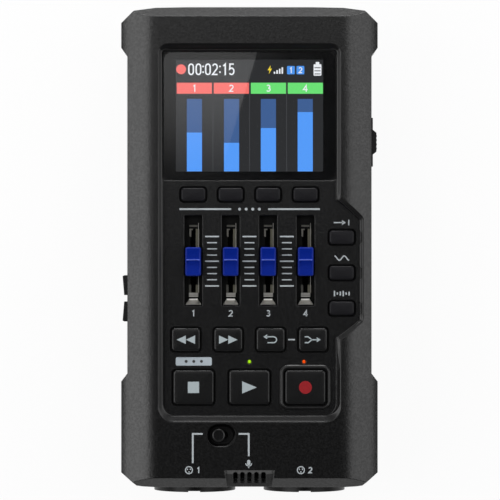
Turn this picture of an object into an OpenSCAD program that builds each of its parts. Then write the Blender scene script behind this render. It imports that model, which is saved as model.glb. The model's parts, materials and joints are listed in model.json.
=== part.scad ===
// Handheld four-track recorder lying on its back.
// X points right, Y to the display end, Z out of the face. Sizes in millimetres.

/* [Casing] */
// Width across the corner bumpers
body_w = 73.8; // [73:0.1:76]
// Length of the casing from end face to end face
body_l = 138.1; // [137:0.1:141]
// Depth of the casing from its back to its face
body_h = 37.5; // [37.5:0.1:39.5]
// Depth of the rear half, from its back to the joint line
rear_h = 19; // [18.8:0.1:19.6]
// How far the waist is set in from the bumpers on each side
waist_inset = 1.8; // [1.4:0.1:2]
// Side wall thickness at the waist
side_wall = 2; // [1.8:0.1:2.2]
// End wall thickness
end_wall = 2.4; // [2.2:0.1:2.6]
// Back wall thickness
back_wall = 2.4; // [2.3:0.1:2.6]
// Panel thickness under the control tray
panel_t = 2; // [1.8:0.1:2.2]
// Half width of the flat part of the face
shoulder_x = 26.2; // [25:0.1:26.4]
// Radius of the rounded shoulders
shoulder_r = 20; // [19:0.5:24]
// Length of the slope at each end of the face
slope_l = 2.8; // [2:0.1:3]
// Drop of the slope at each end of the face
slope_h = 3; // [2:0.1:3.2]
// Bevel along the edges of the back
back_edge = 3; // [2:0.1:3]
// Length of the bumpers at the display end
bumper_top = 11.7; // [10:0.1:14]
// Length of the bumpers at the socket end
bumper_end = 30.4; // [28:0.1:32]
// Length of the ramp from bumper to waist
bumper_ramp = 2.35; // [2:0.05:3]
// Corner bevel of the outline
corner_cut = 3.7; // [3:0.1:4]
// Crown of the end at the display
crown = 1.06; // [0.5:0.02:1.2]
// Height of the rubber feet under the back
foot_h = 1; // [0.8:0.1:1.5]
// Radius of the rubber feet
foot_r = 4.2; // [3.5:0.1:4.4]
// Depth of the feet in their pockets
foot_seat = 0.8; // [0.6:0.1:1]

/* [Control tray] */
// Width of the tray floor
tray_w = 50; // [49.8:0.1:50.4]
// Depth of the tray below the face
tray_depth = 2.4; // [2.2:0.1:2.6]
// Gap from the display pane to the upper edge of the tray floor
tray_top_gap = 0.45; // [0.4:0.05:0.6]
// Lower edge of the tray floor, from the zero line
tray_low = 47.8; // [47.4:0.1:48]
// Spread of the tray side walls from floor to face
tray_draft = 1.2; // [0.8:0.1:1.2]
// Spread of the tray end walls from floor to face
tray_draft_end = 1.75; // [1:0.05:1.8]
// Offset of the zero line from the middle of the casing
panel_shift = -0.73; // [-1:0.01:-0.5]
// Distance from the waist to the widened part of the tray floor
wing_rail = 3.1; // [2.9:0.1:3.4]
// Middle of the widened part, from the zero line
wing_y = -5.35; // [-5.6:0.05:-5]
// Spread of the widened part from floor to face
wing_draft = 1.3; // [1.1:0.05:1.6]

/* [Display] */
// Gap around the display pane
glass_gap = 0.25; // [0.2:0.05:0.35]
// Thickness of the display pane
glass_t = 1.2; // [1:0.1:1.3]
// Height of the display pane
glass_h = 36.8; // [36.5:0.1:37]
// Lower edge of the display pane, from the zero line
glass_low = 20.15; // [20:0.05:20.4]
// Width of the display cell
cell_w = 50; // [49:0.1:50.4]
// Height of the display cell
cell_h = 37.5; // [37:0.1:38]
// Reach of the display cell past the lower edge of the pane
cell_lap = 0.35; // [0.2:0.05:0.5]
// Width of the opening over the display cell
view_w = 45.6; // [44:0.1:46.5]
// Height of the opening over the display cell
view_h = 34.6; // [33:0.1:35]
// Thickness of the display cell
cell_t = 2; // [1.8:0.1:2.2]

/* [Keys] */
// Width of a soft key
soft_w = 7.05; // [6.8:0.05:7.2]
// Height of a soft key
soft_h = 3.75; // [3.5:0.05:3.9]
// Pitch of soft keys and faders
track_pitch = 10.76; // [10.7:0.02:10.9]
// Line of the soft keys, from the zero line
soft_y = 15.87; // [15.7:0.01:16]
// Width of a side key
side_w = 7.15; // [6.9:0.05:7.3]
// Height of a side key
side_h = 3.9; // [3.6:0.05:4.1]
// Distance of the side keys from the edge of the widened tray floor
side_inset = 5.45; // [5.2:0.05:5.6]
// Pitch of the side keys
side_pitch = 10.2; // [10:0.1:10.4]
// Middle side key, from the zero line
side_y = -6.65; // [-6.8:0.05:-6.5]
// Width of a small transport key
small_w = 8.15; // [8:0.05:8.3]
// Height of a small transport key
small_h = 6.55; // [6.3:0.05:6.7]
// Pitch of the small transport keys
small_pitch = 12.18; // [12.1:0.02:12.3]
// Line of the small transport keys, from the zero line
small_y = -25.85; // [-26:0.05:-25.7]
// Width of a large transport key
large_w = 11.65; // [11.4:0.05:11.8]
// Height of a large transport key
large_h = 9.75; // [9.5:0.05:9.9]
// Pitch of the large transport keys
large_pitch = 16.08; // [16:0.02:16.2]
// Line of the large transport keys, from the zero line
large_y = -39.55; // [-39.7:0.05:-39.4]
// Gap around every key
key_gap = 0.42; // [0.3:0.02:0.5]
// Corner radius of the keys
key_r = 0.9; // [0.6:0.1:1.2]
// Bevel of the key tops
key_bevel = 0.3; // [0.2:0.05:0.5]
// Key tops above the tray floor
key_proud = 0.9; // [0.7:0.1:1.2]
// Stroke of the keys
key_stroke = 0.6; // [0.4:0.1:0.6]
// Width of the retaining flange of the keys
flange_w = 0.8; // [0.7:0.1:0.9]
// Thickness of the retaining flange of the keys
flange_t = 0.8; // [0.7:0.1:0.9]
// Radius of the key stems
stem_r = 1; // [0.9:0.05:1.1]
// Width of the frame around the record key
bezel_w = 0.95; // [0.8:0.05:1]
// Height of the frame around the record key
bezel_t = 0.6; // [0.4:0.1:0.7]

/* [Faders] */
// Width of a fader slot
slot_w = 5.2; // [5.1:0.05:5.4]
// Length of a fader slot
slot_l = 26; // [25.8:0.1:26.4]
// Middle of the fader slots, from the zero line
slot_y = -3.1; // [-3.3:0.05:-3]
// Middle of the fader scale, from the zero line
scale_y = -3.4; // [-3.5:0.05:-3.2]
// Travel of a fader to each side of its middle
fader_travel = 7; // [6.5:0.1:7]
// Width of a fader cap
cap_w = 4.5; // [4.3:0.05:4.6]
// Length of a fader cap
cap_l = 8.25; // [8:0.05:8.4]
// Height of a fader cap
cap_h = 3.6; // [3.4:0.1:4]
// Gap under a fader cap
cap_gap = 0.5; // [0.4:0.1:0.6]
// Width of a fader frame
frame_w = 6.4; // [6.2:0.1:6.6]
// Length of a fader frame
frame_l = 27.6; // [27.4:0.1:28]
// Sheet thickness of a fader frame
frame_t = 0.6; // [0.5:0.05:0.7]
// Thickness of a fader lever
lever_w = 1.2; // [1:0.05:1.3]
// Length of a fader lever along its slot
lever_l = 4; // [3.6:0.1:4.2]
// Side clearance of the lever in its frame
lever_gap = 0.3; // [0.25:0.05:0.4]

/* [Selector and microphone] */
// Width of the selector recess
dish_w = 8.4; // [8.2:0.1:8.6]
// Height of the selector recess
dish_h = 6.8; // [6.6:0.1:7]
// Middle of the selector recess across the face
dish_x = -8.06; // [-8.3:0.02:-7.8]
// Middle of the selector recess, from the zero line
dish_y = -53.3; // [-53.5:0.05:-53.2]
// Depth of the selector recess
dish_depth = 1.6; // [1.4:0.1:1.8]
// Radius of the selector knob
knob_r = 1.9; // [1.8:0.05:2]
// Stroke of the selector knob
knob_stroke = 1.6; // [1.4:0.1:1.7]
// Half width of the microphone notch at its inner edge
notch_w = 7.15; // [7:0.05:7.3]
// Pitch of the microphone slots
mic_pitch = 2.02; // [2:0.01:2.1]
// Width of the microphone slots
mic_slot = 1.32; // [1.2:0.02:1.4]
// Radius of the microphone capsule
mic_r = 3; // [2.8:0.1:3.1]
// Length of the microphone capsule
mic_l = 2.4; // [2.2:0.1:2.8]

/* [Input sockets] */
// Distance of the input sockets from the middle
jack_x = 16.05; // [15.9:0.05:16.2]
// Height of the socket axis above the back
jack_up = 15.2; // [15.1:0.05:15.3]
// Radius of the socket flange
jack_r = 11.9; // [11.8:0.05:12]
// How far the socket flange stands past the end face
jack_proud = 2; // [1.5:0.1:2.4]
// Half size of the square socket housing
jack_half = 12; // [11.95:0.01:12.1]
// Length of the socket housing behind the end wall
jack_l = 27; // [26.5:0.1:27.2]
// Radius of the socket mouth
mouth_r = 9.7; // [9.5:0.05:9.9]
// Depth of the socket mouth
mouth_l = 14.4; // [14:0.1:15]
// Radius of the socket core
core_r = 7.7; // [7.5:0.05:7.9]
// Radius of the plug bore in the core
plug_r = 3.3; // [3.25:0.05:3.4]
// Depth of the plug bore
plug_l = 27.5; // [27:0.1:28]

/* [Side controls and sockets] */
// Middle of the rocker, from the zero line
rocker_y = -14.1; // [-14.3:0.05:-13.9]
// Length of the rocker
rocker_l = 13.4; // [13:0.1:13.6]
// Width of the rocker
rocker_w = 4.8; // [4.6:0.1:5]
// Radius of the rocker pins
pin_r = 0.6; // [0.5:0.05:0.65]
// Middle of the power slider, from the zero line
slider_y = 31.2; // [30.8:0.1:31.4]
// Length of the slider plate
slider_l = 14.1; // [13.8:0.1:14.4]
// Width of the slider plate
slider_w = 5.2; // [5:0.1:5.4]
// Stroke of the slider to each side
slider_stroke = 2.5; // [2:0.1:2.5]
// Middle of the headphone socket, from the zero line
phone_y = 30; // [29:0.1:31]
// Radius of the headphone plug bore
phone_r = 1.8; // [1.78:0.01:1.85]
// Depth of the headphone plug bore
phone_l = 14.5; // [14:0.1:15]
// Distance of the data socket from the lower edge of the main board
usb_up = 33.5; // [32:0.1:34]
// Width of the data socket
usb_w = 8.94; // [8.9:0.01:9]
// Height of the data socket
usb_h = 3.26; // [3.2:0.01:3.3]
// Distance of the card reader from the lower edge of the main board
card_up = 10.5; // [9:0.1:11]
// Width of the card slot
card_w = 11.4; // [11.2:0.1:11.6]

/* [Power bay] */
// Diameter of a battery cell
aa_d = 14.5; // [14.2:0.1:14.5]
// Length of a battery cell
aa_l = 50.5; // [50:0.1:50.5]
// Pitch of the battery cells
aa_pitch = 14.8; // [14.7:0.05:14.9]
// Wall thickness of the bay
bay_wall = 1.5; // [1.4:0.1:1.6]
// Gap from the tripod boss to the wall of the bay
bay_gap = 2.2; // [1:0.1:2.5]
// Thickness of the battery door
door_t = 2; // [1.8:0.1:2]
// Ledge under the rim of the battery door
door_ledge = 0.9; // [0.8:0.05:1]
// Gap around the battery door
door_gap = 0.2; // [0.15:0.05:0.25]
// Radius of the door hinge pins
door_pin_r = 0.6; // [0.5:0.05:0.6]
// Radius of the tripod thread
tripod_r = 3.175; // [3.175:0.001:3.175]
// Length of the tripod thread
tripod_l = 7.5; // [7:0.1:8]
// Wall of the tripod insert
tripod_wall = 1.6; // [1.4:0.1:1.8]
// Radius of the boss around the tripod insert
tripod_boss_r = 6.5; // [6.2:0.1:6.8]

/* [Boards and screws] */
// Distance from the panel to the control board
board_gap = 4.3; // [4.3:0.1:4.4]
// Thickness of the control board
control_t = 1.2; // [1:0.1:1.2]
// Thickness of the main board
main_t = 1.6; // [1.4:0.1:1.6]
// Gap from the boards to the side walls
board_side = 2.1; // [2:0.1:2.5]
// Gap from the control board to the end wall at the sockets
control_low_gap = 5.9; // [5.5:0.1:6.5]
// Gap from the control board to the end wall at the display
control_top_gap = 4.65; // [4.5:0.05:5]
// Reach of the main board past the bay
main_reach = 8.75; // [8:0.05:9]
// Gap from the main board to the end wall at the display
main_top_gap = 7.8; // [7.5:0.1:9]
// Thickness of the socket board
jack_board_t = 1.3; // [1.2:0.1:1.6]
// Gap between the socket board and the posts behind it
jack_board_gap = 0.4; // [0.3:0.1:0.8]
// Radius of the board posts
board_post_r = 2; // [1.8:0.1:2.2]
// Radius of the front screw posts
post_r = 2.6; // [2.4:0.1:2.7]
// Radius of the casing screws
screw_r = 1.2; // [1.1:0.05:1.3]
// Radius of the casing screw heads
head_r = 2.2; // [2:0.05:2.3]
// Radius of the board screws
small_screw_r = 0.85; // [0.8:0.05:0.9]
// Clearance around screws, pins and inserts
screw_gap = 0.05; // [0.04:0.01:0.08]

/* [Hidden] */
$fn = 48;

back_z = foot_h;
face_z = back_z + body_h;
split_z = back_z + rear_h;
seat_z = back_z + 6.6;
floor_z = face_z - tray_depth;
under_z = floor_z - panel_t;
half_w = body_w / 2;
waist_x = half_w - waist_inset;
cav_x = waist_x - side_wall;
y_top = (body_l + jack_proud) / 2;
y_end = y_top - body_l;
mid_y = y_end + body_l / 2;
panel_y = mid_y + panel_shift;
cav_y0 = y_end + end_wall;
cav_y1 = y_top - end_wall;

jack_z = back_z + jack_up;
jack_back = cav_y0 + jack_l;
flange_y = y_end - jack_proud;

control_top = under_z - board_gap;
control_z = control_top - control_t;
board_x = cav_x - board_side;
tact_t = 1.8;
tact_w = 3.6;
stem_z = control_top + key_stroke + 0.2;

cell_z = back_z + door_t + 0.3 + aa_d / 2;
bay_top = cell_z + aa_d / 2 + 0.2;
bay_w = 3 * aa_pitch + aa_d + 1.1;
contact_t = 0.5;
spring_l = 2;
bay_l = aa_l + spring_l + 2 * contact_t;
tripod_mid = jack_back + jack_board_t + jack_board_gap + tripod_boss_r + 0.5;
bay_y0 = tripod_mid + tripod_boss_r + bay_gap + bay_wall;
bay_y1 = bay_y0 + bay_l;
bay_mid = (bay_y0 + bay_y1) / 2;
main_y0 = bay_y0 - main_reach;
main_y1 = cav_y1 - main_top_gap;
roof_z = bay_top + bay_wall;
pad_h = 1.7;
main_z = roof_z + pad_h;
main_top = main_z + main_t;
control_z_axis = main_top + 2.7;

door_w = bay_w + 2 * door_ledge;
door_y0 = bay_y0 - door_ledge - 0.1;
door_y1 = bay_y1 + door_ledge + 0.1;
hinge_y = door_y0 + door_t / 2;
hinge_z = back_z + door_t / 2;

ledge_z = floor_z - 0.3 - glass_t;
rib_z = control_top + 1.4 + cell_t;
glass_w = tray_w - 2 * glass_gap;
glass_mid = panel_y + glass_low + glass_h / 2;
cell_mid = panel_y + glass_low - cell_lap + cell_h / 2;
tray_top = glass_low + glass_h + tray_top_gap;
wing_x = waist_x - wing_rail;
side_x = wing_x - side_inset;

row4 = [-1.5, -0.5, 0.5, 1.5];
row3 = [-1, 0, 1];
soft_at = [for (k = row4) [k * track_pitch, soft_y]];
side_at = [for (k = [1, 0, -1]) [side_x, side_y + k * side_pitch]];
small_at = [for (k = row4) [k * small_pitch, small_y]];
large_at = [for (k = row3) [k * large_pitch, large_y]];
key_at = concat(soft_at, side_at, small_at, large_at);
light_at = [[0, -32.24], [15.7, -32.24]];

column_r = head_r + 1.2;
case_screw_x = cav_x - 2.9;
case_screw_y = [y_top - 6.3, jack_back + jack_board_t + jack_board_gap + column_r];
case_screw_at = [for (y = case_screw_y) for (s = [-1, 1]) [s * case_screw_x, y]];
cell_reach = cell_h / 2 + 0.9 + board_post_r;
post_x = cell_w / 2 + 0.55 + board_post_r;
board_screw_row = [[post_x, cell_mid + cell_h / 4], [post_x, cell_mid - cell_reach]];
low_post_y = panel_y + large_y - large_h / 2 - flange_w - 0.6 - board_post_r;
board_screw_at = concat([for (p = board_screw_row) for (s = [-1, 1]) [s * p[0], p[1]]], [[0, low_post_y]]);
main_screw_at = [for (y = [-21, 22]) for (s = [-1, 1]) [10 * s, bay_mid + y]];
foot_at = [for (y = [y_top - 13.5, y_end + 13]) for (s = [-1, 1]) [s * (cav_x - 8.1), y]];

SOFT_KEYS = ["soft_key_1", "soft_key_2", "soft_key_3", "soft_key_4"];
SIDE_KEYS = ["input_key", "effect_key", "rhythm_key"];
SMALL_KEYS = ["rewind_key", "forward_key", "undo_key", "bounce_key"];
LARGE_KEYS = ["stop_key", "play_key", "record_key"];
CAPS = ["fader_cap_1", "fader_cap_2", "fader_cap_3", "fader_cap_4"];
LEVERS = ["fader_lever_1", "fader_lever_2", "fader_lever_3", "fader_lever_4"];
FRAMES = ["fader_frame_1", "fader_frame_2", "fader_frame_3", "fader_frame_4"];
LIGHTS = ["play_light", "record_light"];
SHELLS = ["jack_shell_a", "jack_shell_b"];
CORES = ["jack_insert_a", "jack_insert_b"];
REST = [
    "front_case", "rear_case", "battery_door", "display_window", "display_panel", "backlight_unit",
    "control_board", "main_board", "jack_board", "tact_switches", "indicator_leds",
    "selector_knob", "selector_switch", "microphone_capsule", "microphone_gasket",
    "volume_rocker", "volume_switches", "power_slider", "power_switch",
    "headphone_socket", "usb_socket", "card_reader", "battery_cells", "battery_contacts",
    "case_screws", "board_screws", "tripod_insert", "rubber_feet"
];

casing_c = [0.13, 0.13, 0.14];
key_c = [0.11, 0.11, 0.12];
steel_c = [0.66, 0.67, 0.68];
board_c = [0.08, 0.3, 0.16];
black_c = [0.05, 0.05, 0.06];

// Profile in the Y and Z directions, drawn out along X from zero
module along_x(len) {
    rotate([90, 0, 90]) linear_extrude(len) children();
}

// Profile in the X and Z directions, drawn out along Y from zero
module along_y(len) {
    translate([0, len, 0]) rotate([90, 0, 0]) linear_extrude(len) children();
}

// Rounded rectangle with its own corner radius at the top and at the bottom
module rrect(w, h, rt, rb) {
    polygon([
        [rb - w / 2, -h / 2], [w / 2 - rb, -h / 2], [w / 2, rb - h / 2], [w / 2, h / 2 - rt],
        [w / 2 - rt, h / 2], [rt - w / 2, h / 2], [-w / 2, h / 2 - rt], [-w / 2, rb - h / 2]
    ]);
    for (s = [-1, 1]) {
        translate([s * (w / 2 - rt), h / 2 - rt]) circle(r = rt);
        translate([s * (w / 2 - rb), rb - h / 2]) circle(r = rb);
    }
}

module rbox(w, h, r, z0, z1) {
    translate([0, 0, z0]) linear_extrude(z1 - z0) rrect(w, h, r, r);
}

// Box from one corner to the other
module span(a, b) {
    translate(a) cube(b - a);
}

module post(r, z0, z1) {
    translate([0, 0, z0]) cylinder(r = r, h = z1 - z0);
}

// Outline of the casing seen from the front
function both_sides(p) = concat(p, [for (i = [len(p) - 1:-1:0]) [-p[i][0], p[i][1]]]);

module outline() {
    polygon(both_sides([
        [18, y_top], [27, y_top - 0.17 * crown], [half_w - corner_cut, y_top - crown],
        [half_w, y_top - crown - 0.95 * corner_cut], [half_w, y_top - bumper_top],
        [waist_x, y_top - bumper_top - bumper_ramp], [waist_x, y_end + bumper_end + bumper_ramp],
        [half_w, y_end + bumper_end], [half_w, y_end + 1.15 * corner_cut],
        [half_w - 1.2 * corner_cut, y_end + 0.5], [half_w - 1.7 * corner_cut, y_end + 0.22], [27, y_end]
    ]));
}

// Outline of the hollow inside the casing
module hollow_outline() {
    c = 3.2;
    polygon(both_sides([
        [cav_x - c, cav_y1], [cav_x, cav_y1 - c], [cav_x, cav_y0 + c], [cav_x - c, cav_y0]
    ]));
}

module front_section() {
    h = face_z - split_z;
    translate([-shoulder_x, split_z]) square([2 * shoulder_x, h]);
    for (s = [0, 1]) {
        mirror([s, 0]) intersection() {
            translate([shoulder_x, face_z - shoulder_r]) circle(r = shoulder_r);
            translate([shoulder_x, split_z]) square([half_w - shoulder_x, h]);
        }
    }
}

module front_form() {
    intersection() {
        translate([0, 0, split_z]) linear_extrude(face_z - split_z) outline();
        translate([0, y_end - 1, 0]) along_y(body_l + 2) front_section();
        translate([-half_w - 1, 0, 0]) along_x(body_w + 2) polygon([
            [y_end, split_z], [y_top, split_z], [y_top, face_z - slope_h], [y_top - slope_l, face_z],
            [y_end + slope_l, face_z], [y_end, face_z - slope_h]
        ]);
    }
}

module rear_form() {
    intersection() {
        translate([0, 0, back_z]) linear_extrude(rear_h) outline();
        translate([0, y_end - 1, 0]) along_y(body_l + 2) polygon(both_sides([
            [half_w, split_z], [half_w, back_z + back_edge], [half_w - back_edge, back_z]
        ]));
        translate([-half_w - 1, 0, 0]) along_x(body_w + 2) polygon([
            [y_end, split_z], [y_top, split_z], [y_top, back_z + back_edge], [y_top - back_edge, back_z],
            [y_end + back_edge, back_z], [y_end, back_z + back_edge]
        ]);
    }
}

// Recessed tray with sloping walls
module tray_cut() {
    rise = tray_depth + 0.5;
    k = rise / tray_depth;
    mid = panel_y + (tray_top - tray_low) / 2;
    h = tray_top + tray_low;
    hull() {
        translate([0, mid, floor_z]) linear_extrude(0.01) rrect(tray_w, h, 1.9, 3.7, $fn = 32);
        translate([0, mid, floor_z + rise]) linear_extrude(0.01)
            rrect(tray_w + 2 * k * tray_draft, h + 2 * k * tray_draft_end, 3.2, 4.9, $fn = 32);
    }
}

// Widened part of the tray beside the faders
module wing_cut() {
    rise = tray_depth + 0.5;
    k = rise / tray_depth;
    r = 1.35;
    ends = [[wing_x - r, 13.65], [23, 19.6], [wing_x - r, -14.25], [23, -19.6]];
    hull() {
        for (e = ends) {
            translate([e[0], panel_y + wing_y + e[1], floor_z]) cylinder(r = r, h = 0.01, $fn = 32);
            translate([e[0], panel_y + wing_y + e[1], floor_z + rise])
                cylinder(r = r + k * wing_draft, h = 0.01, $fn = 32);
        }
    }
}

module pane_outline(gap) {
    rrect(glass_w + 2 * gap, glass_h + 2 * gap, 1.65 + gap, 0.6 + gap);
}

module key_opening(p, w, h) {
    translate([p[0], panel_y + p[1], 0])
        rbox(w + 2 * key_gap, h + 2 * key_gap, key_r + key_gap, under_z - 1, floor_z + 2);
}

// Notch over the microphone with its sloping floor
module mic_notch() {
    y1 = y_end + 5.1;
    y2 = y_end + 3.9;
    z2 = face_z - 1.6;
    fall = 0.82;
    intersection() {
        translate([-10, 0, 0]) along_x(20) polygon([
            [y1 + 0.75, face_z + 1], [y1, face_z], [y2, z2], [y_end - 1, z2 - fall * (y2 - y_end + 1)],
            [y_end - 1, face_z + 1]
        ]);
        translate([0, 0, split_z]) linear_extrude(body_h) polygon(both_sides([
            [notch_w + 0.05, y1 + 1], [notch_w, y1], [notch_w - 0.9, y_end - 1]
        ]));
    }
}

module mic_slots() {
    for (i = [-2:2]) {
        translate([i * mic_pitch, 0, under_z - 1]) linear_extrude(6) {
            translate([-mic_slot / 2, y_end + 1.25]) square([mic_slot, 2.6]);
            translate([0, y_end + 3.85]) circle(r = mic_slot / 2);
        }
    }
}

module dish_cut() {
    inset = 0.9;
    hull() {
        translate([dish_x, panel_y + dish_y, face_z - dish_depth]) linear_extrude(0.01)
            rrect(
                dish_w - 2 * inset, dish_h - 2 * inset,
                dish_h / 2 - inset - 0.02, dish_h / 2 - inset - 0.02, $fn = 32);
        translate([dish_x, panel_y + dish_y, face_z + 0.1]) linear_extrude(0.01)
            rrect(dish_w, dish_h, dish_h / 2 - 0.02, dish_h / 2 - 0.02, $fn = 32);
    }
}

module jack_holes() {
    for (s = [-1, 1]) {
        translate([s * jack_x, y_end - 1, jack_z]) rotate([-90, 0, 0])
            cylinder(r = jack_r + 0.2, h = end_wall + 2);
    }
}

rocker_z = control_z_axis;
rocker_pin_x = -(cav_x - 0.7);
rocker_gap = 0.3;
lug_t = 1.4;

module rocker_lugs() {
    for (s = [-1, 1]) {
        translate([0, panel_y + rocker_y, rocker_z + s * (rocker_w / 2 + rocker_gap - 0.1 + lug_t / 2)])
            translate([-cav_x - 0.2, -1.7, -lug_t / 2]) cube([1.9, 3.4, lug_t]);
    }
}

slider_neck = 3;
slider_neck_h = 2.4;

module side_openings() {
    rl = rocker_l / 2 + rocker_gap;
    rw = rocker_w / 2 + rocker_gap - 0.1;
    translate([0, panel_y + rocker_y, rocker_z]) span([-half_w - 1, -rl, -rw], [-cav_x + 0.01, rl, rw]);
    translate([rocker_pin_x, panel_y + rocker_y, 0]) post(pin_r + screw_gap, rocker_z - 4.6, rocker_z + 4.6);
    sl = slider_neck / 2 + slider_stroke + 0.3;
    sw = slider_neck_h / 2 + 0.2;
    translate([0, panel_y + slider_y, control_z_axis]) span([cav_x - 1, -sl, -sw], [half_w + 1, sl, sw]);
    translate([-half_w - 1, panel_y + phone_y, control_z_axis]) rotate([0, 90, 0])
        cylinder(r = phone_r + 1.2, h = half_w - cav_x + 2);
    translate([cav_x - 1, main_y0 + usb_up, main_top + usb_h / 2]) along_x(6)
        rrect(usb_w + 0.4, usb_h + 0.4, usb_h / 2 + 0.19, usb_h / 2 + 0.19);
    translate([cav_x - 1, main_y0 + card_up, main_top + 1.1]) along_x(6)
        rrect(card_w + 1, 1.8, 0.4, 0.4);
}

module front_case() {
    color(casing_c) difference() {
        union() {
            difference() {
                front_form();
                tray_cut();
                wing_cut();
                translate([0, 0, split_z - 1]) linear_extrude(under_z - split_z + 1) hollow_outline();
            }
            translate([large_pitch, panel_y + large_y, 0]) rbox(
                large_w + 2 * (key_gap + bezel_w), large_h + 2 * (key_gap + bezel_w),
                key_r + key_gap + bezel_w, floor_z - 0.2, floor_z + bezel_t);
            translate([0, cell_mid, 0]) rbox(cell_w + 2.6, cell_h + 1.5, 1.5, rib_z, under_z + 0.2);
            for (p = case_screw_at) translate([p[0], p[1], 0]) post(post_r, split_z, under_z + 0.2);
            for (p = board_screw_at) translate([p[0], p[1], 0])
                post(board_post_r, control_top, under_z + 0.2);
            rocker_lugs();
        }
        translate([0, glass_mid, ledge_z]) linear_extrude(3) pane_outline(glass_gap);
        translate([0, cell_mid, 0]) rbox(view_w, view_h, 0.6, rib_z - 1, ledge_z + 1);
        for (p = soft_at) key_opening(p, soft_w, soft_h);
        for (p = side_at) key_opening(p, side_w, side_h);
        for (p = small_at) key_opening(p, small_w, small_h);
        for (p = large_at) key_opening(p, large_w, large_h);
        for (p = soft_at) translate([p[0], panel_y + slot_y, 0])
            rbox(slot_w, slot_l, 0.4, under_z - 1, floor_z + 1);
        for (p = light_at) translate([p[0], panel_y + p[1], 0]) post(0.6, under_z - 1, floor_z + 1);
        dish_cut();
        translate([dish_x, panel_y + dish_y, 0])
            rbox(knob_stroke + 2.8, 2.6, 1.2, under_z - 1, face_z);
        mic_notch();
        mic_slots();
        jack_holes();
        side_openings();
        for (p = case_screw_at) translate([p[0], p[1], 0])
            post(screw_r + screw_gap, split_z - 1, split_z + 11);
        for (p = board_screw_at) translate([p[0], p[1], 0])
            post(small_screw_r + screw_gap, control_top - 1, control_top + 3.4);
    }
}

module rear_case() {
    color(casing_c) difference() {
        union() {
            difference() {
                rear_form();
                translate([0, 0, back_z + back_wall]) linear_extrude(rear_h) hollow_outline();
            }
            span([-bay_w / 2 - bay_wall, bay_y0 - bay_wall, back_z + 1],
                [bay_w / 2 + bay_wall, bay_y1 + bay_wall, roof_z]);
            for (p = case_screw_at) translate([p[0], p[1], 0]) post(column_r, back_z + 1, split_z);
            for (p = main_screw_at) translate([p[0], p[1], 0]) post(2.4, roof_z - 0.5, main_z);
            translate([0, tripod_mid, 0]) post(tripod_boss_r, back_z + 1, back_z + tripod_l + tripod_wall);
        }
        span([-bay_w / 2, bay_y0, back_z - 1], [bay_w / 2, bay_y1, bay_top]);
        span([-door_w / 2 - door_gap, door_y0 - door_gap, back_z - 1],
            [door_w / 2 + door_gap, door_y1 + door_gap, back_z + door_t + 0.1]);
        translate([-door_w / 2 - 1.4, hinge_y, hinge_z]) rotate([0, 90, 0])
            cylinder(r = door_pin_r + screw_gap, h = door_w + 2.8);
        for (p = case_screw_at) translate([p[0], p[1], 0]) {
            post(head_r + 0.15, back_z - 1, seat_z);
            post(screw_r + 0.15, seat_z - 1, split_z + 1);
        }
        for (p = main_screw_at) translate([p[0], p[1], 0])
            post(small_screw_r + screw_gap, main_z - 2.7, main_z + 1);
        translate([0, tripod_mid, 0]) post(tripod_r + tripod_wall + screw_gap, back_z - 1, back_z + tripod_l);
        for (p = foot_at) translate([p[0], p[1], 0]) post(foot_r + 0.1, back_z - 1, back_z + foot_seat);
        jack_holes();
    }
}

module battery_door() {
    color(casing_c) {
        translate([-door_w / 2, 0, 0]) along_x(door_w) {
            translate([hinge_y, back_z]) square([door_y1 - hinge_y, door_t]);
            translate([hinge_y, hinge_z]) circle(r = door_t / 2);
        }
        translate([-door_w / 2 - 1.2, hinge_y, hinge_z]) rotate([0, 90, 0])
            cylinder(r = door_pin_r, h = door_w + 2.4);
    }
}

module display_window() {
    color([0.2, 0.22, 0.25, 0.5]) translate([0, glass_mid, ledge_z]) linear_extrude(glass_t) pane_outline(0);
}

module display_panel() {
    color([0.1, 0.12, 0.2]) translate([0, cell_mid, 0]) rbox(cell_w, cell_h, 0.5, rib_z - cell_t, rib_z);
}

module backlight_unit() {
    color([0.85, 0.85, 0.83]) translate([0, cell_mid, 0])
        rbox(cell_w + 1, cell_h + 1, 0.6, control_top, rib_z - cell_t);
}

module control_board() {
    color(board_c) difference() {
        span([-board_x, cav_y0 + control_low_gap, control_z],
            [board_x, cav_y1 - control_top_gap, control_top]);
        for (p = soft_at) translate([p[0], panel_y + slot_y, 0])
            rbox(frame_w + 0.4, frame_l + 0.4, 0.3, control_z - 1, control_top + 1);
        for (p = case_screw_at) translate([p[0], p[1], 0]) post(post_r + 0.5, control_z - 1, control_top + 1);
        for (p = board_screw_at) translate([p[0], p[1], 0])
            post(small_screw_r + 0.15, control_z - 1, control_top + 1);
    }
}

module main_board() {
    color(board_c) difference() {
        union() {
            span([-board_x, main_y0, main_z], [board_x, main_y1, main_top]);
            span([-11, bay_mid - 8, main_top - 0.2], [3, bay_mid + 6, main_top + 1.4]);
            span([6, bay_mid - 4, main_top - 0.2], [16, bay_mid + 6, main_top + 1.1]);
            span([-8, main_y1 - 16, main_top - 0.2], [14, main_y1 - 6, main_top + 2]);
        }
        for (p = main_screw_at) translate([p[0], p[1], 0])
            post(small_screw_r + 0.15, main_z - 1, main_top + 1);
    }
}

module jack_board() {
    w = jack_x + jack_half;
    h = jack_half - 1;
    color(board_c) span([-w, jack_back, jack_z - h], [w, jack_back + jack_board_t, jack_z + h]);
}

module tact_switches() {
    color(steel_c) for (p = key_at) translate([p[0], panel_y + p[1], 0]) difference() {
        translate([-tact_w / 2, -tact_w / 2, control_top]) cube([tact_w, tact_w, tact_t]);
        post(stem_r + 0.15, control_top + 0.1, control_top + tact_t + 1);
    }
}

module indicator_leds() {
    color([0.9, 0.9, 0.85]) for (p = light_at) translate([p[0] - 0.8, panel_y + p[1] - 0.6, control_top])
        cube([1.6, 1.2, 0.7]);
}

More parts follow.
